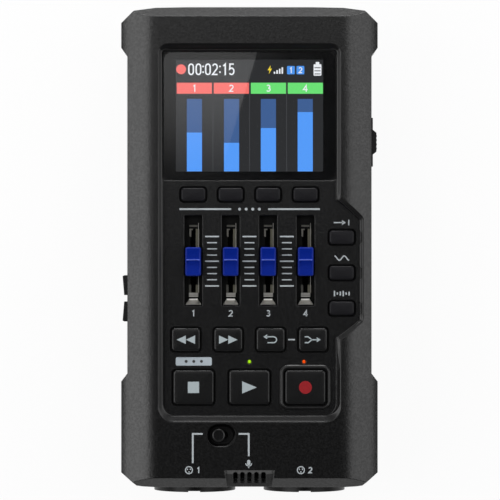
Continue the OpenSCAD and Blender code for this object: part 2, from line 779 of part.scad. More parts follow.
module light_pipe(p) {
    color([0.8, 0.8, 0.6]) translate([p[0], panel_y + p[1], 0]) post(0.55, control_top + 0.7, floor_z + 0.1);
}

// Key with bevelled top edges, retaining flange and stem
module key(p, w, h) {
    top = floor_z + key_proud;
    b = key_bevel;
    low = under_z - flange_t;
    color(key_c) translate([p[0], panel_y + p[1], 0]) {
        intersection() {
            rbox(w, h, key_r, low + 0.2, top);
            translate([0, -h, 0]) along_y(2 * h) polygon(both_sides([
                [w / 2 - b, top], [w / 2, top - b], [w / 2, low]
            ]));
            translate([-w, 0, 0]) along_x(2 * w) polygon(both_sides([
                [h / 2 - b, top], [h / 2, top - b], [h / 2, low]
            ]));
        }
        rbox(w + 2 * flange_w, h + 2 * flange_w, key_r + flange_w, low, under_z);
        post(stem_r, stem_z, low + 0.2);
    }
}

cap_z = floor_z + cap_gap;

// Fader cap with two sloping finger faces and a ridge between them
module fader_cap(x) {
    top = cap_z + cap_h;
    color([0.04, 0.13, 0.6]) translate([x, panel_y + scale_y, 0]) difference() {
        intersection() {
            translate([-cap_w / 2, 0, 0]) along_x(cap_w) polygon(both_sides([
                [0.35, top], [0.9, top - 0.75], [cap_l / 2 - 0.7, top - 0.35],
                [cap_l / 2, top - 1.1], [cap_l / 2, cap_z]
            ]));
            translate([0, -cap_l, 0]) along_y(2 * cap_l) polygon(both_sides([
                [cap_w / 2 - 0.35, top], [cap_w / 2, top - 0.5], [cap_w / 2, cap_z]
            ]));
        }
        span([-lever_w / 2, -lever_l / 2, cap_z - 1], [lever_w / 2, lever_l / 2, cap_z + 2]);
    }
}

frame_z0 = control_z - 1.6;
frame_z1 = under_z - flange_t - 0.2;
carriage_w = frame_w - 2 * frame_t - 2 * lever_gap;
carriage_z = frame_z0 + frame_t + 0.3;

module fader_lever(x) {
    color(steel_c) translate([x, panel_y + scale_y, 0]) {
        span([-carriage_w / 2, -3.4, carriage_z], [carriage_w / 2, 3.4, carriage_z + 2.6]);
        span([-lever_w / 2, -lever_l / 2, carriage_z + 2], [lever_w / 2, lever_l / 2, cap_z + 2]);
    }
}

// Folded frame of a fader with end lugs and a bent tab in the lower end of the slot
module fader_frame(x) {
    run = lever_l / 2 + fader_travel + 0.4;
    color(steel_c) translate([x, panel_y + slot_y, 0]) {
        difference() {
            span([-frame_w / 2, -frame_l / 2, frame_z0], [frame_w / 2, frame_l / 2, frame_z1]);
            span([-frame_w / 2 + frame_t, -frame_l / 2 + frame_t, frame_z0 + frame_t],
                [frame_w / 2 - frame_t, frame_l / 2 - frame_t, frame_z1 - frame_t]);
            span([-lever_w / 2 - lever_gap, scale_y - slot_y - run, frame_z1 - 1],
                [lever_w / 2 + lever_gap, scale_y - slot_y + run, frame_z1 + 1]);
        }
        for (s = [-1, 1]) {
            span([-2, s * (frame_l / 2 + 0.5) - 1.1, control_top],
                [2, s * (frame_l / 2 + 0.5) + 1.1, control_top + 0.5]);
        }
        intersection() {
            translate([-slot_w / 2, 0, 0]) along_x(slot_w) polygon([
                [-slot_l / 2 + 2, frame_z1 - 0.2], [-slot_l / 2 + 2, frame_z1],
                [-slot_l / 2 + 0.3, floor_z - 0.5], [-slot_l / 2 + 0.3, frame_z1 - 0.2]
            ]);
            translate([0, 0, frame_z0]) linear_extrude(12) polygon(both_sides([
                [1.2, -slot_l / 2 + 2], [2.25, -slot_l / 2 + 0.2]
            ]));
        }
    }
}

module selector_knob() {
    low = face_z - dish_depth + 0.2;
    color(black_c) translate([dish_x - knob_stroke / 2, panel_y + dish_y, 0]) {
        difference() {
            post(knob_r, low, face_z - 0.1);
            translate([0, 0, face_z + 3.6]) sphere(r = 4);
        }
        post(0.9, control_top + 2.2, low + 0.2);
    }
}

module selector_switch() {
    color(steel_c) translate([dish_x, panel_y + dish_y, 0]) difference() {
        span([-4, -2.2, control_top], [4, 2.2, control_top + 3.4]);
        rbox(knob_stroke + 2.6, 2.5, 1.2, control_top + 2, control_top + 4);
    }
}

mic_z = under_z - mic_r - 0.1;

module microphone_gasket() {
    color(black_c) translate([0, cav_y0, mic_z]) rotate([-90, 0, 0]) difference() {
        cylinder(r = mic_r, h = 0.5);
        translate([0, 0, -1]) cylinder(r = mic_r / 2, h = 3);
    }
}

module microphone_capsule() {
    color(steel_c) translate([0, cav_y0 + 0.5, mic_z]) rotate([-90, 0, 0]) cylinder(r = mic_r, h = mic_l);
}

// Socket housing with its round flange and mouth
module jack_shell(x) {
    color(black_c) translate([x, 0, jack_z]) difference() {
        union() {
            span([-jack_half, cav_y0, -jack_half], [jack_half, jack_back, jack_half]);
            translate([0, flange_y, 0]) rotate([-90, 0, 0]) cylinder(r = jack_r, h = cav_y0 - flange_y + 1);
        }
        translate([0, flange_y - 1, 0]) rotate([-90, 0, 0]) cylinder(r = mouth_r, h = mouth_l + 1);
        translate([0, flange_y, 0]) rotate([-90, 0, 0]) cylinder(r = core_r - 1.6 + 0.05, h = plug_l + 0.6);
        span([-1.73, flange_y - 1, mouth_r - 0.4], [1.73, flange_y + 0.3, jack_r + 1]);
    }
}

// Core of the socket with plug bore and three pin holes
module jack_insert(x) {
    color([0.09, 0.09, 0.1]) translate([x, flange_y + 0.5, jack_z]) rotate([-90, 0, 0]) difference() {
        union() {
            cylinder(r = core_r, h = mouth_l - 0.5);
            cylinder(r = core_r - 1.6, h = plug_l);
        }
        translate([0, 0, -1]) cylinder(r = plug_r, h = plug_l + 2);
        for (a = [30, 150, 270]) {
            translate([5.55 * cos(a), -5.55 * sin(a), -1]) cylinder(r = 1.25, h = 11);
        }
    }
}

// Rocker with a finger wedge at each end, turning on two pins
module volume_rocker() {
    l = rocker_l / 2;
    w = rocker_w / 2;
    bar0 = -waist_x + 0.4;
    bar1 = -cav_x - 0.1;
    out = -half_w + 0.1;
    color(black_c) translate([0, panel_y + rocker_y, rocker_z]) {
        translate([0, 0, -w]) linear_extrude(2 * w) {
            translate([bar0, -l]) square([bar1 - bar0, 2 * l]);
            for (s = [0, 1]) {
                mirror([0, s]) polygon([
                    [bar0 + 0.2, 0.95], [out + 0.45, 0.95], [out, l - 0.25], [out + 0.5, l], [bar0 + 0.2, l]
                ]);
            }
            translate([rocker_pin_x, 0]) circle(r = 1);
            translate([bar1 - 0.2, -1]) square([rocker_pin_x - bar1 + 0.2, 2]);
        }
        translate([rocker_pin_x, 0, 0]) post(pin_r, -w - 1.5, w + 1.5);
        for (s = [-1, 1]) {
            translate([bar1 - 0.2, s * 5, 0]) rotate([0, 90, 0]) cylinder(r = 0.8, h = 1.7);
        }
    }
}

module volume_switches() {
    color(steel_c) for (s = [-1, 1]) {
        translate([0, panel_y + rocker_y + s * 5, 0])
            span([-cav_x + 2.1, -1.7, main_top], [-cav_x + 4.6, 1.7, main_top + 4.2]);
    }
}

// Slider plate with its finger block and the tongue behind it
module power_slider() {
    l = slider_l / 2;
    w = slider_w / 2;
    p0 = waist_x + 0.1;
    p1 = waist_x + 0.7;
    color(black_c) translate([0, panel_y + slider_y, control_z_axis]) {
        span([p0, -l, -w], [p1, l, w]);
        translate([0, 0, -w]) linear_extrude(2 * w) polygon([
            [p1 - 0.1, -3.6], [p1, -3.6], [half_w - 0.05, -2.75],
            [half_w - 0.05, 2.75], [p1, 3.6], [p1 - 0.1, 3.6]
        ]);
        span([cav_x - 1.4, -slider_neck / 2, -slider_neck_h / 2],
            [p0 + 0.1, slider_neck / 2, slider_neck_h / 2]);
        span([cav_x - 3.4, -1, -0.6], [cav_x - 1.3, 1, 0.6]);
    }
}

module power_switch() {
    run = 1 + slider_stroke + 0.3;
    color(steel_c) translate([0, panel_y + slider_y, 0]) difference() {
        span([cav_x - 6.2, -4.8, main_top], [cav_x - 1.9, 4.8, control_z_axis + 2]);
        span([cav_x - 3.8, -run, control_z_axis - 0.9], [cav_x, run, control_z_axis + 0.9]);
    }
}

module headphone_socket() {
    color(black_c) translate([0, panel_y + phone_y, 0]) difference() {
        union() {
            span([-cav_x, -3.2, main_top], [-cav_x + phone_l - 1, 3.2, control_z_axis + 2.8]);
            translate([-waist_x + 0.1, 0, control_z_axis]) rotate([0, 90, 0])
                cylinder(r = phone_r + 1.1, h = side_wall + 1);
        }
        translate([-waist_x - 1, 0, control_z_axis]) rotate([0, 90, 0])
            cylinder(r = phone_r, h = phone_l + 1.1);
    }
}

module usb_socket() {
    t = 0.35;
    color(steel_c) translate([0, main_y0 + usb_up, main_top + usb_h / 2]) {
        difference() {
            translate([waist_x - 8, 0, 0]) along_x(7.6)
                rrect(usb_w, usb_h, usb_h / 2 - 0.02, usb_h / 2 - 0.02);
            translate([waist_x - 7, 0, 0]) along_x(8)
                rrect(usb_w - 2 * t, usb_h - 2 * t, usb_h / 2 - t - 0.02, usb_h / 2 - t - 0.02);
        }
        span([waist_x - 7.2, -3.3, -0.35], [waist_x - 1.6, 3.3, 0.35]);
    }
}

module card_reader() {
    x0 = cav_x - 15;
    color(steel_c) translate([0, main_y0 + card_up, 0]) difference() {
        span([x0, -card_w / 2 - 1.3, main_top], [cav_x - 0.3, card_w / 2 + 1.3, main_top + 2]);
        span([x0 + 1, -card_w / 2, main_top + 0.6], [cav_x, card_w / 2, main_top + 1.6]);
    }
}

module battery_cells() {
    nub = 1;
    for (i = [0:3]) {
        turn = i % 2;
        cell_y = bay_y0 + contact_t + spring_l + turn * aa_l;
        color([0.2, 0.2, 0.22]) translate([row4[i] * aa_pitch, cell_y, cell_z])
            rotate([turn == 0 ? -90 : 90, 0, 0]) {
                cylinder(r = aa_d / 2, h = aa_l - nub);
                cylinder(r = 2.75, h = aa_l);
            }
    }
}

module battery_contacts() {
    for (i = [0:3]) {
        color(steel_c) translate([row4[i] * aa_pitch, 0, cell_z]) {
            span([-5, bay_y1 - contact_t, -5], [5, bay_y1, 5]);
            span([-5, bay_y0, -5], [5, bay_y0 + contact_t, 5]);
            translate([-2.5, bay_y0 + contact_t - 0.1, 0]) along_x(5)
                polygon([
                    [0, 4], [0, 3.4], [spring_l - 0.3, 0.3], [0, -3.4], [0, -4],
                    [spring_l + 0.1, -0.4], [spring_l + 0.1, 0.4]
                ]);
        }
    }
}

module case_screws() {
    color(steel_c) for (p = case_screw_at) translate([p[0], p[1], 0]) difference() {
        union() {
            post(head_r, seat_z - 1.7, seat_z);
            post(screw_r, seat_z - 0.2, split_z + 10);
        }
        for (a = [0, 90]) rotate([0, 0, a]) span([-1.3, -0.3, seat_z - 2], [1.3, 0.3, seat_z - 0.9]);
    }
}

module board_screws() {
    color(steel_c) {
        for (p = board_screw_at) translate([p[0], p[1], 0]) {
            post(1.8, control_z - 1.1, control_z);
            post(small_screw_r, control_z - 0.2, control_top + 3);
        }
        for (p = main_screw_at) translate([p[0], p[1], 0]) {
            post(1.8, main_top, main_top + 1.1);
            post(small_screw_r, main_z - 2.4, main_top + 0.2);
        }
    }
}

module tripod_insert() {
    color([0.7, 0.6, 0.3]) translate([0, tripod_mid, 0]) difference() {
        post(tripod_r + tripod_wall, back_z, back_z + tripod_l);
        post(tripod_r, back_z - 1, back_z + tripod_l + 1);
    }
}

module rubber_feet() {
    color(black_c) for (p = foot_at) translate([p[0], p[1], 0]) post(foot_r, 0, back_z + foot_seat);
}

front_case();
rear_case();
battery_door();
display_window();
display_panel();
backlight_unit();
control_board();
main_board();
jack_board();
tact_switches();
indicator_leds();
selector_knob();
selector_switch();
microphone_capsule();
microphone_gasket();
volume_rocker();
volume_switches();
power_slider();
power_switch();
headphone_socket();
usb_socket();
card_reader();
battery_cells();
battery_contacts();
case_screws();
board_screws();
tripod_insert();
rubber_feet();
for (i = [0:3]) {
    key(soft_at[i], soft_w, soft_h);
    key(small_at[i], small_w, small_h);
    fader_cap(row4[i] * track_pitch);
    fader_lever(row4[i] * track_pitch);
    fader_frame(row4[i] * track_pitch);
}
for (i = [0:2]) {
    key(side_at[i], side_w, side_h);
    key(large_at[i], large_w, large_h);
}
for (i = [0:1]) {
    light_pipe(light_at[i]);
    jack_shell((2 * i - 1) * jack_x);
    jack_insert((2 * i - 1) * jack_x);
}
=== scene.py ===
"""Looks of a hand-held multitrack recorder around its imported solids.

Lengths in the code are millimetres and become metres when a mesh is made; the floor, lights and camera
are placed in metres. X runs to the right of the face, Y to the display end and Z out of the face. The
casing, boards and sockets keep their solids and get finishes; keys, fader caps, lights, feet, the display
picture and the printed marks are surfaces worked out with numpy.
"""
import json

import bpy
import numpy as np
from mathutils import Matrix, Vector


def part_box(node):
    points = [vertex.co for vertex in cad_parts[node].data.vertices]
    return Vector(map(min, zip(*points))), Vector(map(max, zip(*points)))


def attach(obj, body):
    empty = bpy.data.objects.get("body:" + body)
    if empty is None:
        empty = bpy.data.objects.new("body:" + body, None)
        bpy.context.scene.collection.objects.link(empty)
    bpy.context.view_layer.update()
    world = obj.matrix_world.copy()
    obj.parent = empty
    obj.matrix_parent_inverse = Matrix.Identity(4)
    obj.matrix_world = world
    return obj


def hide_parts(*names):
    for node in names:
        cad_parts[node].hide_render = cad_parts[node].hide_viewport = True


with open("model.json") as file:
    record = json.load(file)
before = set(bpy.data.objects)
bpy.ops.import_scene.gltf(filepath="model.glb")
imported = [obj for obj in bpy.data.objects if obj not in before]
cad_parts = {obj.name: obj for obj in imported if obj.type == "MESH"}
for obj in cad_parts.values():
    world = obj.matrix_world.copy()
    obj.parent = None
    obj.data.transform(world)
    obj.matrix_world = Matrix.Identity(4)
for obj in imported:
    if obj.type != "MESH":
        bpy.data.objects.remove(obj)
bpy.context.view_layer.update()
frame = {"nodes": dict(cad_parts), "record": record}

MM = 0.001
TRACKS = (1, 2, 3, 4)
TRACK_X = (-16.14, -5.38, 5.38, 16.14)
FACE, FLOOR, UNDER = 38.5, 36.1, 34.1
CELL_TOP, RAIL_TOP, SEAM = 33.2, 33.1, 20.0
PRINT, PRINT_BED, KEY_INK, FILM = 0.03, 0.02, 0.06, 0.012
FLANGE, KEY_CORNER = 0.8, 0.9
DISH_X, DISH_Y = -8.06, -53.03
CONTROL_Z = 25.5
PHONE_R, PLUG_R, TRIPOD_R = 1.8, 3.3, 3.175
PIN_CIRCLE, PIN_R = 5.55, 1.25
PIN_TURNS = np.radians((30, 150, 270))
THREAD_PITCH = 1.27


# Shapes

def outline(width, height, radius, steps=7):
    """Closed outline of a rectangle with round corners, anticlockwise: four quarter circles of the
    given radius about the corners of the inner rectangle."""
    r = min(radius, 0.49 * min(width, height))
    turn = np.linspace(0, np.pi / 2, steps + 1)[None, :] + np.arange(4)[:, None] * np.pi / 2
    x = np.array([1, -1, -1, 1])[:, None] * (width / 2 - r) + r * np.cos(turn)
    y = np.array([1, 1, -1, -1])[:, None] * (height / 2 - r) + r * np.sin(turn)
    return np.stack([x, y], -1).reshape(-1, 2)


def circle(radius, count):
    """Closed circle, anticlockwise: radius times cosine and sine of even turns."""
    turn = np.arange(count) * 2 * np.pi / count
    return radius * np.stack([np.cos(turn), np.sin(turn)], -1)


def arc(x, y, rx, ry, start, end, count=16):
    """Part of an ellipse about (x, y) from one angle to another, in degrees."""
    turn = np.radians(np.linspace(start, end, count))
    return np.stack([x + rx * np.cos(turn), y + ry * np.sin(turn)], -1)


def at_level(shape, z):
    """Outline lifted to a level, which is one number or one for each point."""
    return np.column_stack([shape, np.broadcast_to(z, len(shape))])


def skin(rings, loop=False):
    """Surface through rings of equal count: quads join each ring to the next, and in a loop the last to
    the first; without a loop each end is closed by a fan to its ring's middle point."""
    rings = np.asarray(rings, float)
    m, k, _ = rings.shape
    ring = np.arange(m if loop else m - 1)[:, None] * k
    above = (ring + k) % (m * k)
    here = np.arange(k)[None, :]
    on = (here + 1) % k
    quads = np.stack([ring + here, ring + on, above + on, above + here], -1).reshape(-1, 4)
    points, blocks, count = [rings.reshape(-1, 3)], [quads], m * k
    ends = () if loop else ((0, on[0], here[0]), (m - 1, here[0], on[0]))
    for row, a, b in ends:
        points.append(rings[row].mean(0)[None])
        blocks.append(np.stack([np.full(k, count), row * k + a, row * k + b], -1))
        count += 1
    return np.concatenate(points), blocks


def prism(shape, low, high):
    """Straight-sided solid between two levels on a closed anticlockwise outline."""
    shape = np.asarray(shape, float)
    k = len(shape)
    here = np.arange(k)
    on = (here + 1) % k
    sides = np.stack([here, on, k + on, k + here], -1)
    points = np.concatenate([at_level(shape, low), at_level(shape, high)])
    return points, [sides, (k + here)[None, :], here[::-1][None, :]]


def bar(path, width, low, high, loop=False):
    """Flat bar carried along a path: at each point the four corners of its section, square to the
    mean direction there and widened in a corner so that the bar keeps its width."""
    path = np.asarray(path, float)
    step = np.roll(path, -1, 0) - path
    after = step / np.maximum(np.linalg.norm(step, axis=1, keepdims=True), 1e-9)
    before = np.roll(after, 1, 0)
    if not loop:
        after[-1], before[0] = before[-1], after[0]
    mean = before + after
    mean = mean / np.linalg.norm(mean, axis=1, keepdims=True)
    side = np.stack([-mean[:, 1], mean[:, 0]], -1)
    reach = width / 2 / np.maximum((mean * after).sum(1, keepdims=True), 0.35)
    left, right = path + side * reach, path - side * reach
    corners = [at_level(left, low), at_level(left, high), at_level(right, high), at_level(right, low)]
    return skin(np.stack(corners, 1), loop=loop)


def turned(profile, centre, axis="z", count=40, loop=False):
    """Turned form: a profile of radius and height carried round an axis through the centre, solid to the
    axis, or a ring where the profile is a loop."""
    profile = np.asarray(profile, float)
    turn = np.arange(count) * 2 * np.pi / count
    x = profile[:, :1] * np.cos(turn)
    y = profile[:, :1] * np.sin(turn)
    rings = np.stack([x, y, np.broadcast_to(profile[:, 1:], x.shape)], -1)
    if axis == "-y":
        rings = np.stack([rings[..., 0], -rings[..., 2], rings[..., 1]], -1)
    if axis == "-x":
        rings = np.stack([-rings[..., 2], rings[..., 1], rings[..., 0]], -1)
    return skin(rings + np.asarray(centre, float), loop=loop)


def moved(shape, x, y, scale=1.0):
    """Flat outline or path scaled about its origin and moved."""
    return np.asarray(shape, float) * scale + np.array([x, y])


def faced(part, side):
    """Form drawn with its plan in x and y and its height in z, turned to stand out from a side."""
    points, blocks = part
    u, v, w = points.T
    turns = {"left": (-w, -u, v), "right": (w, u, v), "back": (u, -v, -w)}
    return np.stack(turns[side], -1), blocks


def relief(shape, x, y, low, high, side):
    """Raised flat shape on a side, between two distances along the direction of that side."""
    return faced(prism(moved(shape, x, y), low, high), side)


def ring_at(inner, outer, low, high):
    """Section of a plain ring: what lies inside and outside, each at a low and a high level, in a loop."""
    return [(inner, low), (outer, low), (outer, high), (inner, high)]


# Nodes of the finishes

def add(tree, kind, **settings):
    """New node of a kind, with its settings."""
    made = tree.nodes.new(kind)
    for name, value in settings.items():
        setattr(made, name, value)
    return made


def feed(tree, socket, value):
    """Give a socket a number, a colour or the output of another node."""
    if isinstance(value, (int, float)):
        socket.default_value = value
    elif isinstance(value, tuple):
        socket.default_value = (*value, 1)
    else:
        tree.links.new(value, socket)


def math_node(tree, operation, *values):
    """Result of an operation on numbers and outputs."""
    made = add(tree, "ShaderNodeMath", operation=operation)
    for socket, value in zip(made.inputs, values):
        feed(tree, socket, value)
    return made.outputs[0]


def ramp(tree, value, low, high, start=0.0, end=1.0, **settings):
    """Value between two bounds spread over the range from start to end."""
    made = add(tree, "ShaderNodeMapRange", **settings)
    inputs = {"Value": value, "From Min": low, "From Max": high, "To Min": start, "To Max": end}
    for name, given in inputs.items():
        feed(tree, made.inputs[name], given)
    return made.outputs[0]


def axes(tree, vector):
    """Outputs X, Y and Z of a vector."""
    split = add(tree, "ShaderNodeSeparateXYZ")
    tree.links.new(vector, split.inputs[0])
    return split.outputs


def place_of(tree, kind="Object"):
    """Place of the shaded point."""
    return add(tree, "ShaderNodeTexCoord").outputs[kind]


def group_of(name, inputs, outputs):
    """Empty shader node group with number and vector sockets, and its two end nodes."""
    tree = bpy.data.node_groups.new(name, "ShaderNodeTree")
    for kind, sockets in (("INPUT", inputs), ("OUTPUT", outputs)):
        for label in sockets:
            socket = "NodeSocketVector" if label == "Vector" else "NodeSocketFloat"
            tree.interface.new_socket(name=label, in_out=kind, socket_type=socket)
    return tree, add(tree, "NodeGroupInput").outputs, add(tree, "NodeGroupOutput").inputs


def grain_group():
    """Moulded grain: fine noise and small cells as a height, and slow clouds as a tone."""
    tree, given, out = group_of("moulded_grain", ("Vector", "Size", "Clouds"), ("Height", "Tone"))
    noise = add(tree, "ShaderNodeTexNoise")
    noise.inputs["Detail"].default_value = 3
    cells = add(tree, "ShaderNodeTexVoronoi", feature="SMOOTH_F1")
    clouds = add(tree, "ShaderNodeTexNoise")
    clouds.inputs["Detail"].default_value = 4
    for texture, source in ((noise, "Size"), (cells, "Size"), (clouds, "Clouds")):
        tree.links.new(given["Vector"], texture.inputs["Vector"])
        tree.links.new(given[source], texture.inputs["Scale"])
    both = math_node(tree, "ADD", noise.outputs[0], cells.outputs[0])
    tree.links.new(math_node(tree, "MULTIPLY", both, 0.5), out["Height"])
    tree.links.new(clouds.outputs[0], out["Tone"])
    return tree


def band_group():
    """Mask that is one between two bounds of a value and zero outside them."""
    tree, given, out = group_of("band_mask", ("Value", "Low", "High"), ("Mask",))
    over = math_node(tree, "GREATER_THAN", given["Value"], given["Low"])
    under = math_node(tree, "LESS_THAN", given["Value"], given["High"])
    tree.links.new(math_node(tree, "MULTIPLY", over, under), out["Mask"])
    return tree


def dots_group():
    """Rows and columns of display dots: a dark line between neighbours in X and in Y."""
    tree, given, out = group_of("display_dots", ("Vector", "Pitch", "Depth"), ("Factor",))
    place = axes(tree, given["Vector"])
    lines = []
    for axis in "XY":
        phase = math_node(tree, "FRACT", math_node(tree, "DIVIDE", place[axis], given["Pitch"]))
        lines.append(math_node(tree, "GREATER_THAN", phase, 0.82))
    dark = math_node(tree, "MULTIPLY", math_node(tree, "MAXIMUM", *lines), given["Depth"])
    tree.links.new(math_node(tree, "SUBTRACT", 1.0, dark), out["Factor"])
    return tree


GRAIN = grain_group()
BAND = band_group()
DOTS = dots_group()


def use_group(tree, group, **values):
    """Outputs of a node group whose inputs are set or linked."""
    made = add(tree, "ShaderNodeGroup", node_tree=group)
    for name, value in values.items():
        feed(tree, made.inputs[name], value)
    return made.outputs


def grain_at(tree, size, clouds=70):
    """Height and tone of the moulded grain at the shaded point."""
    return use_group(tree, GRAIN, Vector=place_of(tree), Size=size, Clouds=clouds)


def band(tree, value, low, high):
    """Mask of a place between two lengths in millimetres."""
    return use_group(tree, BAND, Value=value, Low=low * MM, High=high * MM)["Mask"]


def colour_mix(tree, factor, low, high):
    """Mix of two colours, or of colour outputs, by a factor output."""
    made = add(tree, "ShaderNodeMix", data_type="RGBA")
    sockets = (made.inputs["Factor"], made.inputs[6], made.inputs[7])
    for socket, value in zip(sockets, (factor, low, high)):
        feed(tree, socket, value)
    return made.outputs[2]


def shade(colour, factor):
    """Colour made lighter or darker by a factor."""
    return tuple(min(1.0, c * factor) for c in colour)


def opened(made):
    """Node tree of a material and the inputs of its shader."""
    return made.node_tree, made.node_tree.nodes["Principled BSDF"].inputs


def new_material(name):
    """Empty material with its node tree and the inputs of its shader."""
    made = bpy.data.materials.new(name)
    made.use_nodes = True
    return made, *opened(made)


# Finishes

ROUGH_SWING, BUMP_HEIGHT = 0.07, 0.0001
DOT_PITCH, DOT_DEPTH, GLOW = 0.00018, 0.25, 1.1
DEEP_BLACK = (0.002, 0.002, 0.002)
FLOOR_BAND, SEAM_BAND = 0.1, 0.1
SPECK_SIZE, SPECK_LOW, SPECK_HIGH, SPECK_SHEEN = 1900, 0.36, 0.58, 0.22
DISH_SHADE_REACH, DISH_SHADE_DEPTH = 4.6, 0.15
BARE_TAB = (-15.7, -13.78)


def finish(name, colour, rough, size=2600, clouds=70, spread=0.14, depth=0.12, metal=0.0, round_edge=0.0,
           gloss=0.5):
    """Finish with moulded grain: cloudy tone in the colour, grain in the roughness and in a bump."""
    made, tree, shader = new_material(name)
    grain = grain_at(tree, size, clouds)
    tone = colour_mix(tree, grain["Tone"], shade(colour, 1 - spread), shade(colour, 1 + spread))
    feed(tree, shader["Base Color"], tone)
    dull = ramp(tree, grain["Height"], 0.0, 1.0, rough - ROUGH_SWING, rough + ROUGH_SWING)
    feed(tree, shader["Roughness"], dull)
    bump = add(tree, "ShaderNodeBump")
    for socket, value in (("Strength", depth), ("Distance", BUMP_HEIGHT), ("Height", grain["Height"])):
        feed(tree, bump.inputs[socket], value)
    if round_edge:
        soft = add(tree, "ShaderNodeBevel", samples=6)
        soft.inputs["Radius"].default_value = round_edge * MM
        tree.links.new(soft.outputs[0], bump.inputs["Normal"])
    tree.links.new(bump.outputs[0], shader["Normal"])
    shader["Metallic"].default_value = metal
    shader["Specular IOR Level"].default_value = gloss
    return made


def overlay(tree, shader, mask, colour):
    """Lay a colour over a finish where a mask is one."""
    base = shader["Base Color"].links[0].from_socket
    feed(tree, shader["Base Color"], colour_mix(tree, mask, base, colour))


def casing_finish():
    """Dark grained casing plastic: specks dull its sheen, the tray floor has its own tone, the selector's
    dish is made darker as painted shade, and a thin dark line marks the joint between the two halves."""
    made = finish("casing_plastic", DEEP_BLACK, 0.24, size=2200, depth=0.24, round_edge=0.35, gloss=0.55)
    tree, shader = opened(made)
    place = place_of(tree)
    level = axes(tree, place)["Z"]
    specks = ramp(tree, grain_at(tree, SPECK_SIZE)["Height"], SPECK_LOW, SPECK_HIGH)
    feed(tree, shader["Metallic"], math_node(tree, "MULTIPLY_ADD", specks, -SPECK_SHEEN, SPECK_SHEEN))
    tone = colour_mix(tree, specks, (0.0027, 0.0027, 0.0027), (0.0049, 0.0049, 0.005))
    floor_tone = colour_mix(tree, specks, (0.0039, 0.0039, 0.0041), (0.0058, 0.0059, 0.0061))
    normal = axes(tree, add(tree, "ShaderNodeNewGeometry").outputs["True Normal"])
    flat = math_node(tree, "GREATER_THAN", normal["Z"], 0.99)
    low = band(tree, level, FLOOR - FLOOR_BAND, FLOOR + FLOOR_BAND)
    tone = colour_mix(tree, math_node(tree, "MULTIPLY", low, flat), tone, floor_tone)
    # Painted shade: the selector's dish below the face is made near black
    away = add(tree, "ShaderNodeVectorMath", operation="DISTANCE")
    away.inputs[1].default_value = (DISH_X * MM, DISH_Y * MM, FACE * MM)
    tree.links.new(place, away.inputs[0])
    near = math_node(tree, "LESS_THAN", away.outputs["Value"], DISH_SHADE_REACH * MM)
    under = math_node(tree, "LESS_THAN", level, (FACE - DISH_SHADE_DEPTH) * MM)
    tone = colour_mix(tree, math_node(tree, "MULTIPLY", near, under), tone, DEEP_BLACK)
    seam = band(tree, level, SEAM - SEAM_BAND, SEAM + SEAM_BAND)
    feed(tree, shader["Base Color"], colour_mix(tree, seam, tone, DEEP_BLACK))
    return made


def cap_finish():
    """Blue fader cap plastic with a painted highlight: paler where the mesh carries one, on the ridge, and a
    little on the rims.
    """
    made = finish("fader_blue", (0.0014, 0.0138, 0.2), 0.3, size=2400, gloss=0.06)
    tree, shader = opened(made)
    # Painted highlight: the ridge and rims are made paler blue where the mesh carries it
    highlight_share = add(tree, "ShaderNodeAttribute", attribute_name="painted_highlight").outputs["Fac"]
    overlay(tree, shader, highlight_share, (0.115, 0.16, 0.59))
    return made


def frame_finish():
    """Blackened fader frame whose bent tab at the lower end of the slot is bare bright steel."""
    made = finish("fader_frame_steel", (0.0015, 0.0015, 0.0015), 0.45, size=1600, spread=0.3, depth=0.1,
                  gloss=0.1)
    tree, shader = opened(made)
    place = axes(tree, place_of(tree))
    high = math_node(tree, "GREATER_THAN", place["Z"], (RAIL_TOP + 0.06) * MM)
    bare = math_node(tree, "MULTIPLY", band(tree, place["Y"], *BARE_TAB), high)
    overlay(tree, shader, bare, (0.46, 0.45, 0.42))
    tree.links.new(bare, shader["Metallic"])
    return made


def glow(name, colour):
    """Lit display colour: emission broken into rows and columns of dots."""
    made, tree, shader = new_material(name)
    dots = use_group(tree, DOTS, Vector=place_of(tree), Pitch=DOT_PITCH, Depth=DOT_DEPTH)
    feed(tree, shader["Emission Color"], colour_mix(tree, dots["Factor"], shade(colour, 0.3), colour))
    feed(tree, shader["Emission Strength"], GLOW)
    feed(tree, shader["Base Color"], DEEP_BLACK)
    feed(tree, shader["Specular IOR Level"], 0)
    return made


def lamp_finish(name, colour, strength):
    """Clear coloured light pipe with a cloudy glow."""
    made = finish(name, shade(colour, 0.12), 0.25, size=900, depth=0.05, gloss=0.2)
    tree, shader = opened(made)
    cloud = grain_at(tree, 1500, 900)
    feed(tree, shader["Emission Color"], colour_mix(tree, cloud["Tone"], shade(colour, 0.75), colour))
    feed(tree, shader["Emission Strength"], strength)
    return made


def pane_finish():
    """Clear display glass with a faint smear in its roughness."""
    made, tree, shader = new_material("pane_glass")
    smear = grain_at(tree, 400, 60)
    feed(tree, shader["Roughness"], ramp(tree, smear["Tone"], 0.0, 1.0, 0.005, 0.02))
    feed(tree, shader["Base Color"], (0.96, 0.97, 0.98))
    shader["Transmission Weight"].default_value = 1
    shader["IOR"].default_value = 1.5
    return made


def paint(name, colour, spread, rough=0.6, clouds=500, gloss=0.5):
    """Printed mark of an even colour with faint clouds."""
    return finish(name, colour, rough, size=5000, clouds=clouds, spread=spread, depth=0.05, gloss=gloss)


